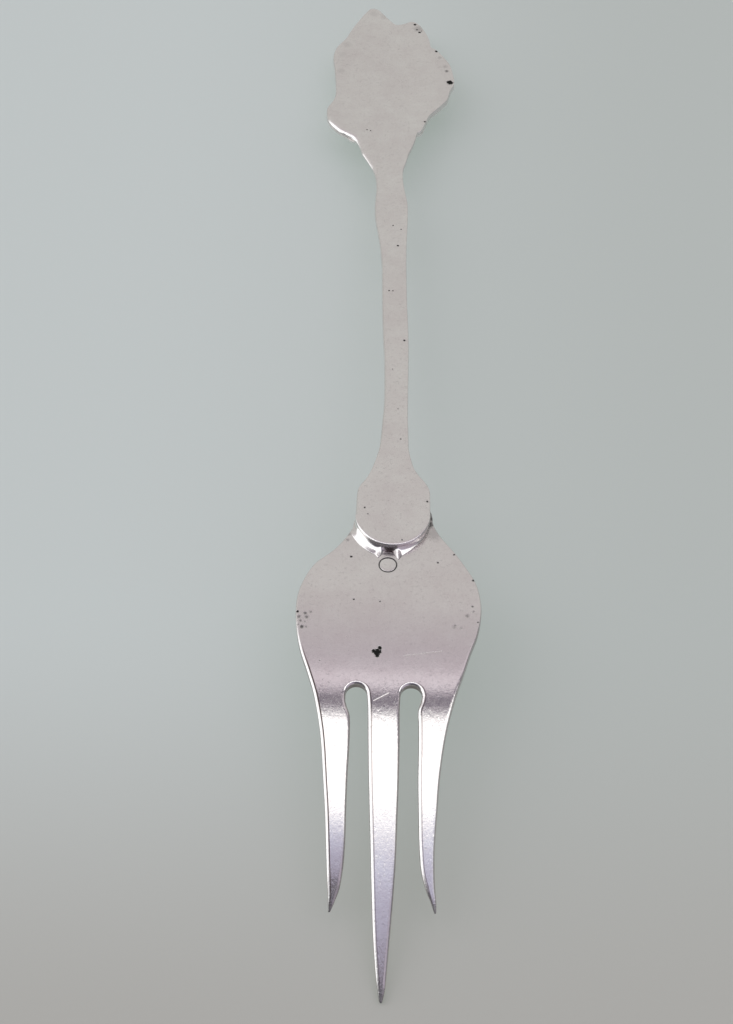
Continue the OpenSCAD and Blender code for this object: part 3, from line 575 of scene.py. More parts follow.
def head_patches(s):
    """The head as a bent plate: three tines and a blade in plan, laid on the bend line,
    with depth measured square to it."""
    tines, lines, holes, (tab_x, tab_y, tab_r) = head_edges(s)
    # Columns across each tine, with one close to the left edge for its crease
    columns = [np.concatenate([[0, 0.03], np.linspace(0.1, 1, count)]) for count in (11, 13, 11)]
    blade_y = np.linspace(s.tine_l, tab_y, 91)
    broad = blade_y * 0 + s.head_w

    def edge(x, y):
        return np.stack(np.broadcast_arrays(x, y), -1)

    def arc(x, y, radius, first, last, count):
        return [x, y] + radius * rays(np.radians(np.linspace(first, last, count + 1)[:-1]))

    # The outline, each stretch with the metal's width beside it: down the left edge of
    # each tine, across its tip, up its right edge and round the keyhole, and at last up
    # the blade, round the tab and down the blade again
    arcs = [arc(*hole, 180, 0, 26) for hole in holes] + [arc(tab_x, tab_y, tab_r, 0, 180, 59)]
    parts = []
    for (y, x0, x1), shares, bow in zip(tines, columns, arcs):
        parts += [
            (edge(x0, y)[:0:-1], (x1 - x0)[:0:-1]),
            (edge(x0[0] + (x1[0] - x0[0]) * shares[:-1], y[0]), 0.0),
            (edge(x1, y)[:-1], (x1 - x0)[:-1]),
            (bow, s.head_w)]
    blade_left, blade_right = (edge(np.interp(blade_y, *line.T), blade_y) for line in lines)
    up, down = parts[-2], parts.pop(0)
    parts[-2] = (np.vstack([up[0], blade_right[:-1]]), np.append(up[1], broad[:-1]))
    parts.append((np.vstack([blade_left[::-1], down[0][1:]]), np.append(broad, down[1][1:])))
    loop = np.vstack([points for points, _ in parts])
    cuts = np.cumsum([len(points) for points, _ in parts])
    width = np.concatenate([np.full(len(points), w) for points, w in parts])
    tip_w = min(x1[0] - x0[0] for _, x0, x1 in tines)
    worn = np.interp(loop[:, 1], [s.tine_l, s.tine_l + s.bend_l, pin_station(s)], HEAD_EDGE_SHARES)
    worn = np.minimum(worn * s.head_round, np.maximum(width, tip_w) * TINE_EDGE_MOST)
    bend_y, bend_z, bend_slope = bend_line(s)
    shift = overall_length(s) / 2

    def thickness(plan):
        return np.interp(plan[:, 1], [0, s.tine_l + s.bend_l / 2], [s.tip_t, s.head_t])

    def bent(plan):
        """Height and slope of the back: the side tines droop along a parabola."""
        x, y = plan.T
        most = np.where(x < holes[0][0], s.left_droop, np.where(x > holes[1][0], s.right_droop, 0.0))
        way = np.maximum(s.side_tine_back + s.droop_l - y, 0) / s.droop_l
        z = np.interp(y, bend_y, bend_z) - most * way ** 2 * s.droop_l / 2
        return z, np.interp(y, bend_y, bend_slope) + most * way

    def place(plan, depth):
        z, slope = bent(plan)
        y = plan[:, 1] + depth * np.sin(slope) - shift
        return np.stack([plan[:, 0], y, z - depth * np.cos(slope)], -1)

    def aim(plan, normal, up):
        return turned(normal, up, bent(plan)[1])

    def grids(inset):
        full = stretches(inset, cuts)
        root_l, root_r = len(tines[0][0]) - 1, len(tines[2][0]) - 1
        outer_l, outer_r = full[11][::-1], full[9]
        left = between(outer_l[:root_l + 1], full[1], columns[0])
        centre = between(full[3][::-1], full[5], columns[1])
        right = between(full[7][::-1], outer_r[:root_r + 1], columns[2])
        left[0], centre[0], right[0] = full[0], full[4], full[8]
        foot = np.vstack([left[-1], full[2][1:], centre[-1][1:], full[6][1:], right[-1][1:]])
        outer_l, outer_r = outer_l[root_l:], outer_r[root_r:]
        # Over the keyholes the lines run straight up to a row across the whole blade
        low_rows = np.searchsorted(blade_y, s.tine_l + 1.6 * holes[0][2])
        over = foot[len(columns[0]) - 1:1 - len(columns[2])]
        level = edge(over[:, 0], blade_y[low_rows])
        rise = (np.arange(low_rows + 1) / low_rows)[:, None, None]
        middle = over * (1 - rise) + level * rise
        first = between(outer_l[:low_rows + 1], middle[:, 0], columns[0])
        last = between(middle[:, -1], outer_r[:low_rows + 1], columns[2])
        first[0], last[0] = left[-1], right[-1]
        low = np.hstack([first, middle[:, 1:], last[:, 1:]])
        shares = (low[-1, :, 0] - low[-1, 0, 0]) / (low[-1, -1, 0] - low[-1, 0, 0])
        high = between(outer_l[low_rows:], outer_r[low_rows:], shares)
        high[0] = low[-1]
        end = fan(np.vstack([high[-1, :-1], full[10][:-1]]), [tab_x, tab_y + 0.4 * tab_r])
        return [(grid, False) for grid in (left, centre, right, low, high)] + [(end, True)]

    # Painted shade line along the start of the rounding of edges that face left, strongest on the left tine
    ends = [s.tine_l * 0.34, s.tine_l * 0.5, s.tine_l + s.bend_l / 2, s.tine_l + s.bend_l]
    side = np.where(loop[:, 0] < holes[0][0], LEFT_SHADE_LINE, RIGHT_SHADE_LINE)
    shade_line = np.interp(loop[:, 1], ends, SHADE_LINE) * side * np.clip(-outward(loop)[:, 0] * 2 - 0.6, 0, 1)
    return sheet_patches(loop, worn, worn * 0.5, 1.0, shade_line, thickness, grids, place, aim)


def handle_rows(s):
    """Rows of the handle's two edges, from the round end: those of the shoulders and the
    wavy stem, and those of the neck."""
    r = s.disc_d / 2
    rows = [(a * s.disc_d, -b * r, c * r) for a, b, c in SHOULDER_SHARES]
    start = rows[-1][0]
    wavy_l = s.stem_l - s.finial_w * NECK_SHARES[0][0] - start
    rows += [(start + a * wavy_l, -b * s.stem_w, c * s.stem_w) for a, b, c in STEM_SHARES]
    return rows, [(s.stem_l - a * s.finial_w, -b * s.finial_w, c * s.finial_w) for a, b, c in NECK_SHARES]


def handle_patches(s):
    """The handle's flat back plate: straight rows across the wavy stem, and a fan of
    rings in the lower half of the round end and in the leafy finial."""
    r = s.disc_d / 2
    low = np.radians(np.linspace(180, 360, 121))
    rows, neck = handle_rows(s)
    stem = spaced(smooth(rows + neck[:3], 12), 240)
    finial = list(finial_edge(s) + [s.finial_x, s.stem_l])
    foot = [a for a, _ in FINIAL_SHARES].index(FINIAL_FOOT)
    crown = [(x, y) for y, _, x in neck[2:]] + finial[-1:] + finial[:foot + 1]
    crown = spaced(smooth(crown + [(x, y) for y, x, _ in neck[3:1:-1]], 10), 460)
    parts = [
        r * rays(low[:-1]),
        stem[:-1, [2, 0]],
        crown[:-1],
        stem[:0:-1, [1, 0]],
    ]
    loop = np.vstack(parts)

    def thickness(plan):
        return np.full(len(plan), s.plate_t)

    def place(plan, depth):
        return on_plate_front(s, np.column_stack([plan, s.plate_t - depth]))

    def aim(plan, normal, up):
        return turned(normal, up, -s.heel_tilt)

    def grids(inset):
        full = stretches(inset, np.cumsum([len(part) for part in parts]))
        rows = between(full[3][::-1], full[1], np.linspace(0, 1, 13))
        disc = fan(np.vstack([full[0][:-1], rows[0, :0:-1]]), [0, -0.4 * r])
        leaves = fan(np.vstack([rows[-1, :-1], full[2][:-1]]), [s.finial_x, s.stem_l])
        return [(rows, False), (disc, True), (leaves, True)]

    worn = np.interp(loop[:, 1] / s.stem_l, *np.transpose(HANDLE_EDGE_SHARES)) * s.plate_round
    facing = np.clip(outward(loop) @ [-1.4, -1.4] - 1.0, 0, 1) * (loop[:, 1] > 0)
    worn = worn * (1 + (FACING_EDGE - 1) * facing)
    # Faint painted shade on the walls, and no painted shade line
    return sheet_patches(loop, worn, worn * 0.4, 0.15, worn * 0, thickness, grids, place, aim)


def pad_patches(s):
    """The sloping pad: rings round the middle of the handle's round end, from under its
    edge down to the foot, which has a hollow for the pin between two horns. The height
    is a power of the way left, plus a thin even slope that makes a flat apron."""
    back = [(degrees, PAD_FOOT_SHARES[-1][1]) for degrees in np.linspace(0, 180, 60)[1:-1]]
    turn, share = np.vstack([smooth(PAD_FOOT_SHARES, 10), back]).T
    ray, share = rays(np.radians(turn)), share * s.disc_d / 2
    # The top ends under the round end, and the foot in a thin lip that is higher at the
    # horns and falls to the head in two small steps
    step_in, bevel, drop = 0.02 * MM, 0.03 * MM, 0.04 * MM
    top = np.minimum(share - step_in, s.disc_d / 2 * 0.975)
    horns = sum(np.exp(-((turn - a) / 3.0) ** 2) for a in PAD_HORNS)
    hollow = np.exp(-((turn - PAD_HOLLOW) / 9) ** 4)
    lip = (0.05 + 0.06 * horns) * MM
    apron = np.interp(turn, *np.transpose(PAD_APRON_MM)) * MM * (1 - hollow)
    power = np.interp(turn, *np.transpose(PAD_POWERS)) + horns
    way = np.linspace(0, 1, 25)
    rows = [(top * 0, s.pad_t + top * 0), (top * 0.5, s.pad_t + top * 0)]
    for t in way:
        slope = apron * (1 - t) + (s.pad_t - lip - apron) * (1 - t) ** power
        rows.append((top + (share - top) * t, lip + slope))
    rows += [(share + bevel, lip * 0.6), (share + drop, lip * 0)]
    rows += [(top * 0.5, lip * 0), (top * 0, lip * 0)]
    shade_and_tarnish_share = [0, 0] + [hollow * t ** 0.15 for t in way] + [0.15] * 4
    shade_and_tarnish_share = np.array([w + 0 * share for w in shade_and_tarnish_share])
    middle = [s.disc_x - s.pin_x, s.disc_gap + s.disc_d / 2]
    grid = np.array([on_heel(s, np.column_stack([middle + d[:, None] * ray, h])) for d, h in rows])
    return [(grid, None, True, shade_and_tarnish_share)]


def pin_patches(s):
    """The pin: circles along its axis, with a small round at its filed end."""
    turn = np.linspace(0, 2 * math.pi, 97)[:-1]
    r, lift, bevel = s.pin_d / 2, 0.02 * MM, 0.10 * MM
    a = np.radians(np.linspace(0, 90, 6))
    radii = np.concatenate([[r * 0.5], r - bevel + bevel * np.sin(a), [r]])
    depths = np.concatenate([[-lift], -lift + bevel * (1 - np.cos(a)), [s.head_t + s.pin_seat]])
    rings = [np.column_stack([q * rays(turn), 0 * turn - d]) for q, d in zip(radii, depths)]
    return tube(on_heel(s, np.array(rings)))


def twig_patches(s):
    """The twig: half-round sections with fine bark grooves along it, swollen at a few
    knots and rounded at both ends, with a flat back on the plate."""
    foot = smooth(finial_edge(s), 3, ring=True)[:, 1].min()
    least, gap = 0.3 * MM, 0.4 * MM
    start, stop = s.disc_d * 0.68, s.stem_l + foot - gap
    t = (1 - np.cos(np.linspace(0.02, math.pi - 0.02, 300))) / 2
    y = start + t * (stop - start)
    edges = smooth(sum(handle_rows(s), []), 12)
    left, right = (np.interp(y, edges[:, 0], edges[:, k]) for k in (1, 2))
    round_end = np.sqrt(1 - (2 * t - 1) ** 12)
    half = np.minimum((right - left) / 2 - s.twig_margin, s.stem_w * 0.62) * (0.35 + 0.65 * round_end)
    swell = 1 + 0.14 * np.max([np.exp(-(((t - k) / 0.03) ** 2)) for k in TWIG_KNOTS], 0)
    a = np.radians(np.linspace(0, 180, 33))
    groove = 1 - 0.05 * (0.5 + 0.5 * np.cos(9 * a[None] + 2.5 * np.sin(40 * t[:, None]))) ** 3
    depth = least + (s.twig_h - least) * np.sin(a)[None] * (round_end * swell)[:, None] * groove
    x = ((left + right) / 2)[:, None] - half[:, None] * np.cos(a)[None]
    front = np.stack([x, np.broadcast_to(y[:, None], x.shape), -depth], -1)
    back = front[:, ::-1] * [1, 1, 0]
    return tube(on_plate_front(s, np.concatenate([front, back], 1)))


def heel_leaf_patches(s):
    """The leaf on the heel's front: sections that fall from the midrib to both edges,
    with side veins that slant from the midrib and a flat back on the head."""
    rows = smooth(HEEL_LEAF_SHARES, 14)
    margin = 0.9 * MM
    t = rows[:, 0][:, None]
    y = -s.heel_l + t * (s.disc_gap + s.disc_d - margin + s.heel_l)
    v = np.linspace(-1, 1, 41)[None]
    vein = 1 - 0.16 * np.exp(-((v / 0.08) ** 2))
    veins = 0.05 * np.cos(2 * math.pi * (t * 13 - np.abs(v) * 2.2)) * (1 - np.abs(v)) * (t < 0.8)
    depth = s.heel_leaf_t * rows[:, 2][:, None] * ((1 - 0.45 * v ** 2) * vein + veins)
    x = v * rows[:, 1][:, None] * s.heel_leaf_w / 2 + (s.disc_x - s.pin_x) * t
    front = np.stack([x, y + 0 * x, -s.head_t - depth], -1)
    back = front[:, ::-1].copy()
    back[..., 2] = -s.head_t
    return tube(on_heel(s, np.concatenate([front, back], 1)))


def round_flower(s, rows):
    """A grid from rings of plan points round the flower's middle, each with its depth
    from the plate's front."""
    middle = [s.finial_x, s.stem_l]
    return np.array([on_plate_front(s, np.column_stack([plan + middle, -depth])) for plan, depth in rows])


def leaves_patches(s):
    """The spray of leaves: rings from the flower to the leafy edge. The depth domes along
    the way, falls between the leaves, and has a groove at each midrib and side veins."""
    edge = smooth(finial_edge(s), 10, ring=True)
    turn = np.degrees(np.arctan2(edge[:, 1], edge[:, 0]))
    turn = np.where(turn < LEAF_SPANS[0][0], turn + 360, turn)
    flat, bevel = 0 * turn, 0.04 * MM
    # Place across a leaf, from -1 at its first edge to 1 at its last
    v = flat
    for first, rib, last in LEAF_SPANS:
        side = (turn - rib) / np.where(turn < rib, rib - first, last - rib)
        v = np.where((turn >= first) & (turn <= last), side, v)
    seat = s.flower_d / 2 * edge / np.linalg.norm(edge, axis=1, keepdims=True)
    domes = smooth(LEAF_RINGS, 8)
    rows = [(edge * 0, flat + s.leaf_t), (seat * 0.6, flat + s.leaf_t)]
    for t in np.linspace(0, 1, 34):
        ease = min(1.0, t * 6)
        carve = (1 - 0.45 * ease * v ** 2) * (1 - 0.17 * ease * np.exp(-((v / 0.10) ** 2)))
        waves = np.cos(2 * math.pi * (t * 5.5 - np.abs(v) * 1.5)) * (1 - np.abs(v))
        swell = np.interp(t, domes[:, 0], domes[:, 1]) * (carve + 0.07 * ease * (1 - t) ** 0.5 * waves)
        rows.append((seat + t * (edge - seat), s.leaf_edge_t + (s.leaf_t - s.leaf_edge_t) * swell))
    rows[-1] = (edge - bevel * outward(edge), rows[-1][1])
    rows += [(edge, flat + s.leaf_edge_t * 0.7), (edge, flat), (edge * 0, flat)]
    return [(round_flower(s, rows), None, True, None)]


def flower_patches(s):
    """The open flower: rings whose radius and depth follow five outer petals near the
    edge and five inner ones near the middle, with fine ribs along the petals."""
    a = np.linspace(0, 2 * math.pi, 361)[:-1]
    outer, inner = np.abs(np.cos(2.5 * a)), np.abs(np.cos(2.5 * (a - math.pi / 5)))
    r, flat = s.flower_d / 2, 0 * a
    rib_h, cup_h, bevel = 0.035 * MM, 0.16 * MM, 0.05 * MM
    rows = [(flat, s.petal_h + flat), (flat + r * 0.3, s.petal_h + flat)]
    for t, height, follow in smooth(FLOWER_RINGS, 8):
        notch = follow * (1 - outer) + (1 - follow) * (1 - inner) * t
        rise = height * (1 - 0.3 * follow * (1 - outer))
        ribs = rib_h * np.cos(60 * a) * min(1.0, height) * (t > 0.45)
        cup = cup_h * follow * np.exp(-(((outer - 1) / 0.25) ** 2)) * height
        depth = s.petal_edge_t + (s.petal_h - s.petal_edge_t) * rise + ribs - cup
        rows.append((r * t * (1 - 0.14 * notch), np.minimum(depth, s.petal_h)))
    rim, depth = rows[-1]
    rows[-1] = (rim - bevel, depth)
    rows += [(rim, flat + s.petal_edge_t * 0.7), (rim, flat), (flat, flat)]
    grid = round_flower(s, [(q[:, None] * rays(a), s.leaf_t + d) for q, d in rows])
    return [(grid, None, True, None)]


def heart_patches(s):
    """The flower's heart: a dome with small beads in rings, cut flat where it rests on
    the table."""
    y, z, _ = bend_line(s)
    drop = (s.disc_gap + s.disc_d / 2 + s.stem_l) * math.sin(s.heel_tilt)
    rest = (np.interp(pin_station(s), y, z) - drop) / math.cos(s.heel_tilt) + s.pad_t
    tall = rest - s.leaf_t - s.petal_h + s.heart_filed
    dome = (s.heart_d ** 2 / 4 + tall ** 2) / (2 * tall)
    lean = math.acos(1 - tall / dome)
    a = np.linspace(0, 2 * math.pi, 145)[:-1]
    rows, bead_h = [], 0.10 * MM
    for t in np.linspace(0, 1, 60):
        beads = np.cos(t * 9 * math.pi) * np.cos(9 * a + 4.5 * round(t * 9 - 0.5))
        q = dome + bead_h * np.abs(beads) ** 0.7 * (0.3 < t < 0.97) - bead_h * (t > 0.28)
        depth = np.maximum(tall - dome + q * math.cos(lean * t), 0)
        rows.append((q * math.sin(lean * t), depth))
    rows.append((0 * a, 0 * a))
    seat = s.leaf_t + s.petal_h
    grid = round_flower(s, [(q[:, None] * rays(a), seat + d) for q, d in rows])
    grid[..., 2] = np.maximum(grid[..., 2], 0)
    return [(grid, None, True, None)]


def add_node(tree, kind, *values, **settings):
    """Adds one node and gives the first output that it shows. Settings named like one of
    its sockets go there and the others to its own attributes, and values go to its
    sockets in the order in which it shows them. Each is a plain value or the output that
    it is linked to."""
    node = tree.nodes.new("ShaderNode" + kind)
    feeds = {key: settings.pop(key) for key in list(settings) if key in node.inputs}
    for key, value in settings.items():
        setattr(node, key, value)
    shown = [socket for socket in node.inputs if socket.enabled]
    for socket, value in [*zip(shown, values), *((node.inputs[key], feeds[key]) for key in feeds)]:
        if isinstance(value, bpy.types.NodeSocket):
            tree.links.new(value, socket)
        else:
            socket.default_value = value
    return next((socket for socket in node.outputs if socket.enabled), None)


def empty_tree(block):
    """Clears the nodes of a material or a world, and gives the function that adds to them."""
    block.use_nodes = True
    block.node_tree.nodes.clear()
    return partial(add_node, block.node_tree)


def per(mm):
    """Texture scale for a pattern of the given size in millimetres, in metres' space."""
    return 1.0 / (mm * MM)


def add_silver(
        name, finish, roughness, shade_and_tarnish_tone, grain_mm=0.006, specks=1.6, pits=(), scratches=(), pin=None,
        bright_from=None):
    """Sterling silver, filed and rubbed by hand, with its wear, tarnish and painted shade laid over it
    in layers. shade_and_tarnish_tone is the colour of the painted shade, and on the pad of the
    tarnish in its hollow, grain_mm the depth of its marks, specks the spacing of its pinholes in
    millimetres, pin the middle and radius of a seam, and bright_from the station under which it is polished."""
    material = bpy.data.materials.new(name)
    node = empty_tree(material)
    place = node("TexCoord").node.outputs["Object"]
    plan = node("VectorMath", place, (1, 1, 0), operation="MULTIPLY")
    # A thin uneven film of tarnish, in clouds of some 5 mm, warms and dulls the metal
    film = node("MapRange", node("TexNoise", place, Scale=per(5.0), Detail=7.0, Roughness=0.78), 0.30, 0.75)
    # Rubbing marks: noise drawn out along three directions, a fifth of a millimetre wide
    marks = 0.0
    for turn, stretch, seed in ((0.15, 9.0, 1.0), (1.25, 7.0, 5.0), (-0.7, 12.0, 9.0)):
        drawn = node("Mapping", place, (seed * MM, 0, 0), (0, 0, turn), (1.0, 1.0 / stretch, 1.0))
        line = node("MapRange", node("TexNoise", drawn, Scale=per(0.22), Detail=2.0), 0.58, 0.74)
        marks = node("Math", marks, line, operation="ADD")
    # Single deeper scratches, each the distance to its own straight line
    for x0, y0, x1, y1 in scratches:
        run = math.hypot(x1 - x0, y1 - y0)
        along = ((x1 - x0) / run, (y1 - y0) / run, 0)
        start = node("VectorMath", plan, (x0 * MM, y0 * MM, 0), operation="SUBTRACT")
        reach = node("Clamp", node("VectorMath", start, along, operation="DOT_PRODUCT"), 0.0, run * MM)
        nearest = node("VectorMath", along, reach, operation="SCALE")
        away = node("VectorMath", start, nearest, operation="DISTANCE")
        line = node("MapRange", away, 0.07 * MM, 0.02 * MM, 0.0, 2.6)
        marks = node("Math", marks, line, operation="ADD")
    # Pinholes of the casting, one cell in some five, a tenth of a millimetre across
    cell = node("TexVoronoi", place, Scale=per(specks)).node.outputs
    size = node("MapRange", node("SeparateColor", cell["Color"]), 0.80, 1.0, 0.0, 0.075 / specks)
    near = node("Math", size, cell["Distance"], operation="SUBTRACT")
    spots = [node("MapRange", near, -0.02, 0.02)]
    # Grain of the rubbed face, a third of a millimetre, a little darker in its hollows
    grain = node("TexNoise", place, Scale=per(0.35), Detail=3.0, Roughness=0.7)
    spots.append(node("MapRange", grain, 0.56, 0.76, 0.0, 0.20))
    # Larger pits and stains, each where it lies, with a ragged edge
    ragged = node("TexNoise", place, Scale=per(0.25), Detail=2.0)
    for x, y, r, *faint in pits:
        away = node("VectorMath", plan, (x * MM, y * MM, 0), operation="DISTANCE")
        rough = node("Math", ragged, -1.3 * r * MM, away, operation="MULTIPLY_ADD")
        rim, soft = 0.35 * r * MM, (0.5 * r if faint else 0.06) * MM
        spots.append(node("MapRange", rough, rim + soft, rim - soft, 0.0, faint[0] if faint else 1.0))
    # A dark seam round the pin, where polish and dust have gathered
    if pin:
        away = node("VectorMath", place, pin[0], operation="DISTANCE")
        off = node("Math", node("Math", away, pin[1], operation="SUBTRACT"), operation="ABSOLUTE")
        spots.append(node("MapRange", off, 0.15 * MM, 0.05 * MM, 0.0, 0.9))
    # Up to one this share is the painted shade of the walls, and on the pad the tarnish in its hollow;
    # above one it is the painted shade line inside the tines' left edges
    shade_and_tarnish_share = node("Attribute", attribute_name="shade_and_tarnish_share").node.outputs["Fac"]
    dark = node("MapRange", shade_and_tarnish_share, 1.0, 2.0)
    for spot in spots:
        dark = node("Math", dark, spot, operation="MAXIMUM")
    base = finish.silver
    for share, tone in ((film, finish.film), (shade_and_tarnish_share, shade_and_tarnish_tone), (dark, finish.tarnish)):
        base = node("Mix", share, base, tone, data_type="RGBA")
    # Film, marks and dark spots are duller than the metal, and the tines are brighter
    dull, gritty = roughness, grain_mm * 1.2 * MM
    if bright_from is not None:
        station = node("SeparateXYZ", place).node.outputs["Y"]
        bright = node("MapRange", station, bright_from + 7 * MM, bright_from + 3 * MM)
        dull = node("Math", bright, finish.polished - roughness, roughness, operation="MULTIPLY_ADD")
        gritty = node("Math", bright, gritty * 0.2, gritty, operation="MULTIPLY_ADD")
    for share, gain in ((film, 0.04), (marks, 0.03), (dark, 0.35)):
        dull = node("Math", share, gain, dull, operation="MULTIPLY_ADD")
    # Low waves of hand work some 6 mm long, then the grain, the marks and the pits
    wave = node("TexNoise", place, Scale=per(6.0), Detail=1.0)
    relief = {}
    for height, deep in (
            (wave, 0.006 * MM), (grain, gritty), (marks, -grain_mm * 0.5 * MM), (dark, -0.02 * MM)):
        relief = {"Normal": node("Bump", Height=height, Strength=1.0, Distance=deep, **relief)}
    node("OutputMaterial", node("BsdfPrincipled", base, Metallic=1.0, Roughness=dull, **relief))
    return material


def add_frosted_glass(finish):
    """Frosted glass over a pale ground: its etched face scatters light softly, lets
    some through from under it and mirrors only a blur of what stands on it."""
    material = bpy.data.materials.new("etched_glass")
    node = empty_tree(material)
    place = node("TexCoord").node.outputs["Object"]
    apart = node("SeparateXYZ", place).node.outputs
    ground = finish.table_left
    for axis, start, stop, tone in (
            ("X", -40 * MM, 45 * MM, finish.table_right), ("Y", -25 * MM, -85 * MM, finish.table_near)):
        share = node("MapRange", apart[axis], start, stop, interpolation_type="SMOOTHSTEP")
        ground = node("Mix", share, ground, tone, data_type="RGBA")
    etch = node("TexNoise", place, Scale=per(0.5), Detail=2.0)
    pebble = node("Bump", Height=etch, Distance=0.01 * MM, Strength=0.5)
    # Light from under the glass is greener than light off its face, so the shadows are too
    redder = node("VectorMath", ground, (1.08, 0.96, 1.06), operation="MULTIPLY")
    greener = node("VectorMath", ground, (0.92, 1.04, 0.93), operation="MULTIPLY")
    path = node("LightPath").node.outputs
    seen = node("Math", path["Is Camera Ray"], path["Is Glossy Ray"], operation="MAXIMUM")
    tint = node("Mix", seen, greener, redder, data_type="RGBA")
    face = node("BsdfPrincipled", tint, Roughness=0.22, Normal=pebble)
    glow = node("Math", seen, finish.table_glow, operation="MULTIPLY")
    node("OutputMaterial", node("MixShader", glow, face, node("Emission", greener, 0.85)))
    return material


class ForkOperator:
    """What the fork's operators share."""

    bl_options = {"REGISTER", "UNDO"}


class FORK_OT_head(ForkOperator, bpy.types.Operator):
    """Adds the bent head with its three tines"""

    bl_idname = "fork.head"
    bl_label = "Fork Head"

    def execute(self, context):
        s, finish = context.scene.fork_sizes, context.scene.fork_finish
        silver = add_silver(
            "rubbed_silver_head", finish, finish.rubbed, finish.wall_shade, pits=HEAD_PITS, scratches=SCRATCHES,
            pin=(tuple(on_heel(s, [0, 0, 0])), s.pin_d / 2 + 0.02 * MM),
            bright_from=s.tine_l - overall_length(s) / 2)
        add_piece("silver_head", "fork_head", silver, head_patches(s))
        return {"FINISHED"}


class FORK_OT_heel_joint(ForkOperator, bpy.types.Operator):
    """Adds the sloping pad and the flush pin"""

    bl_idname = "fork.heel_joint"
    bl_label = "Heel Joint"

    def execute(self, context):
        s, finish = context.scene.fork_sizes, context.scene.fork_finish
        polished = add_silver(
            "polished_silver_pad", finish, finish.polished, finish.corner, grain_mm=0.002, specks=1.8)
        filed = add_silver("filed_silver_pin", finish, finish.rubbed, finish.wall_shade, specks=1.2)
        add_piece("sloping_pad", "heel_pad", polished, pad_patches(s), sharp=60)
        add_piece("flush_pin", "joint_pin", filed, pin_patches(s), sharp=60)
        return {"FINISHED"}


class FORK_OT_handle(ForkOperator, bpy.types.Operator):
    """Adds the flat back plate of the handle"""

    bl_idname = "fork.handle"
    bl_label = "Handle Plate"

    def execute(self, context):
        s, finish = context.scene.fork_sizes, context.scene.fork_finish
        silver = add_silver(
            "rubbed_silver_handle", finish, finish.rubbed, finish.wall_shade, specks=1.5, pits=HANDLE_PITS)
        add_piece("handle_back", "handle_plate", silver, handle_patches(s))
        return {"FINISHED"}


class FORK_OT_front_relief(ForkOperator, bpy.types.Operator):
    """Adds the twig, the leaves and the flower of the front"""

    bl_idname = "fork.front_relief"
    bl_label = "Front Relief"

    def execute(self, context):
        s, finish = context.scene.fork_sizes, context.scene.fork_finish
        cast = add_silver("cast_silver_relief", finish, finish.cast, finish.wall_shade, specks=1.1)
        for name, node, patches in (
            ("twig", "stem_twig", twig_patches(s)),
            ("leaf_on_heel", "heel_leaf", heel_leaf_patches(s)),
            ("leaf_spray", "finial_leaves", leaves_patches(s)),
            ("petals", "flower_petals", flower_patches(s)),
            ("beaded_heart", "flower_heart", heart_patches(s)),
        ):
            add_piece(name, node, cast, patches, sharp=50)
        return {"FINISHED"}


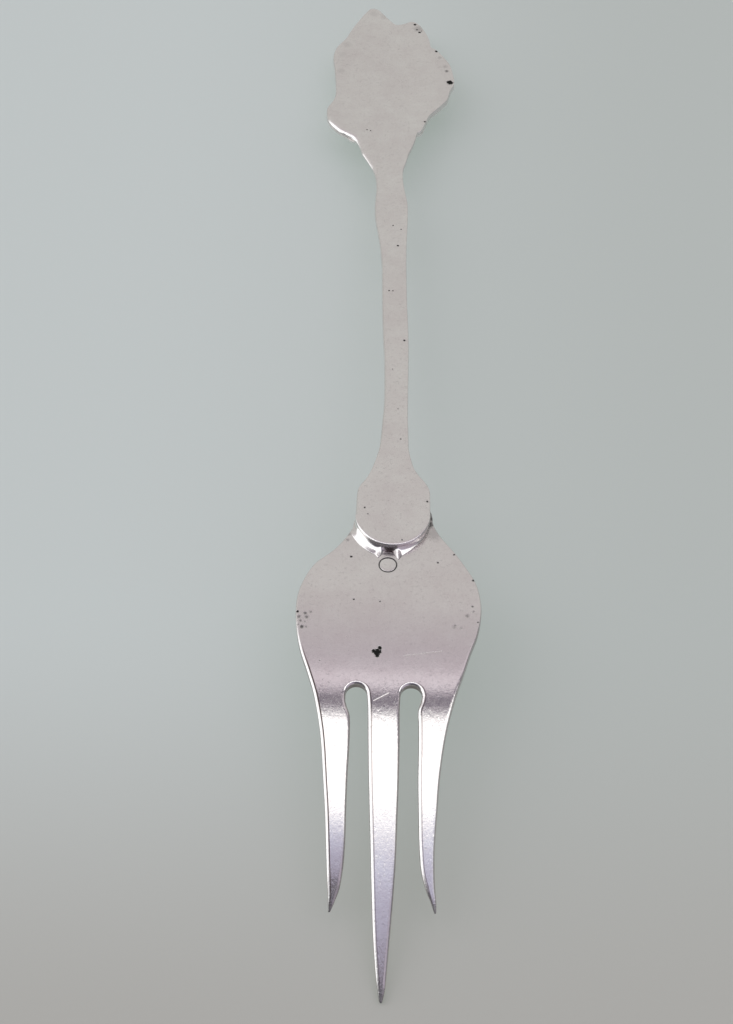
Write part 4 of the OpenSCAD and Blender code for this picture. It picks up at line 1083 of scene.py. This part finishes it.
class FORK_OT_stage(ForkOperator, bpy.types.Operator):
    """Adds the table, the light of the room and the camera"""

    bl_idname = "fork.stage"
    bl_label = "Table, Light and Camera"

    def execute(self, context):
        scene, finish = context.scene, context.scene.fork_finish
        reach = 1.5
        table = bpy.data.meshes.new("table")
        corners = [(-reach, -reach, 0), (reach, -reach, 0), (reach, reach, 0), (-reach, reach, 0)]
        table.from_pydata(corners, [], [(0, 1, 2, 3)])
        table.materials.append(add_frosted_glass(finish))
        table = bpy.data.objects.new("table", table)
        scene.collection.objects.link(table)

        # A room whose light depends on the height over the far side: grey wall, darker
        # gap, white ceiling light overhead, and a cool dim wall behind the viewer
        world = bpy.data.worlds.new("room")
        node = empty_tree(world)
        apart = node("SeparateXYZ", node("TexCoord").node.outputs["Generated"]).node.outputs
        share = node("Math", apart["Z"], apart["Y"], operation="ARCTAN2")
        share = node("Math", share, math.pi, operation="DIVIDE")
        room = node("ValToRGB", share)
        stops = room.node.color_ramp.elements
        for degrees, _ in ROOM[1:-1]:
            stops.new(degrees / 180)
        for stop, (_, code) in zip(stops, ROOM):
            stop.color = linear(code)
        lamp = node("Math", *(node("MapRange", share, *edge) for edge in LAMP_EDGES), operation="MULTIPLY")
        room = node("Mix", lamp, room, LAMP_LIGHT, data_type="RGBA")
        for cover, edges, light in ROOM_PARTS:
            for axis, start, stop in edges:
                mask = node("MapRange", apart[axis], start, stop, interpolation_type="SMOOTHSTEP")
                cover = node("Math", cover, mask, operation="MULTIPLY")
            room = node("Mix", cover, room, light, data_type="RGBA")
        seen = node("LightPath").node.outputs["Is Camera Ray"]
        room = node("Mix", seen, room, linear(BACKDROP), data_type="RGBA")
        node("OutputWorld", node("Background", room, 1.0))
        scene.world = world
        scene.view_settings.view_transform = "Standard"

        camera = bpy.data.cameras.new("camera")
        camera.lens = CAMERA_LENS
        camera.clip_start = 1 * MM
        viewer = bpy.data.objects.new("camera", camera)
        viewer.location = [mm * MM for mm in CAMERA_MM]
        viewer.rotation_euler = [math.radians(degrees) for degrees in CAMERA_TURN]
        scene.collection.objects.link(viewer)
        scene.camera = viewer
        return {"FINISHED"}


class FORK_PT_panel(bpy.types.Panel):
    """Lists the fork's operators, sizes and finish"""

    bl_idname = "FORK_PT_panel"
    bl_label = "Silver Pastry Fork"
    bl_space_type = "VIEW_3D"
    bl_region_type = "UI"
    bl_category = "Fork"

    def draw(self, context):
        for operator in OPERATORS:
            self.layout.operator(operator.bl_idname)
        for group in (context.scene.fork_sizes, context.scene.fork_finish):
            box = self.layout.box()
            for key in group.__annotations__:
                box.prop(group, key)


OPERATORS = (FORK_OT_head, FORK_OT_heel_joint, FORK_OT_handle, FORK_OT_front_relief, FORK_OT_stage)
CLASSES = (ForkSizes, ForkFinish, *OPERATORS, FORK_PT_panel)


def register():
    """Registers the classes and ties the settings to the scene."""
    for cls in CLASSES:
        bpy.utils.register_class(cls)
    bpy.types.Scene.fork_sizes = PointerProperty(type=ForkSizes)
    bpy.types.Scene.fork_finish = PointerProperty(type=ForkFinish)


def unregister():
    """Removes the settings and the classes."""
    del bpy.types.Scene.fork_finish
    del bpy.types.Scene.fork_sizes
    for cls in reversed(CLASSES):
        bpy.utils.unregister_class(cls)


def main():
    """Builds the whole scene."""
    register()
    bpy.ops.fork.stage()
    bpy.ops.fork.head()
    bpy.ops.fork.heel_joint()
    bpy.ops.fork.handle()
    bpy.ops.fork.front_relief()


if __name__ == "__main__":
    main()
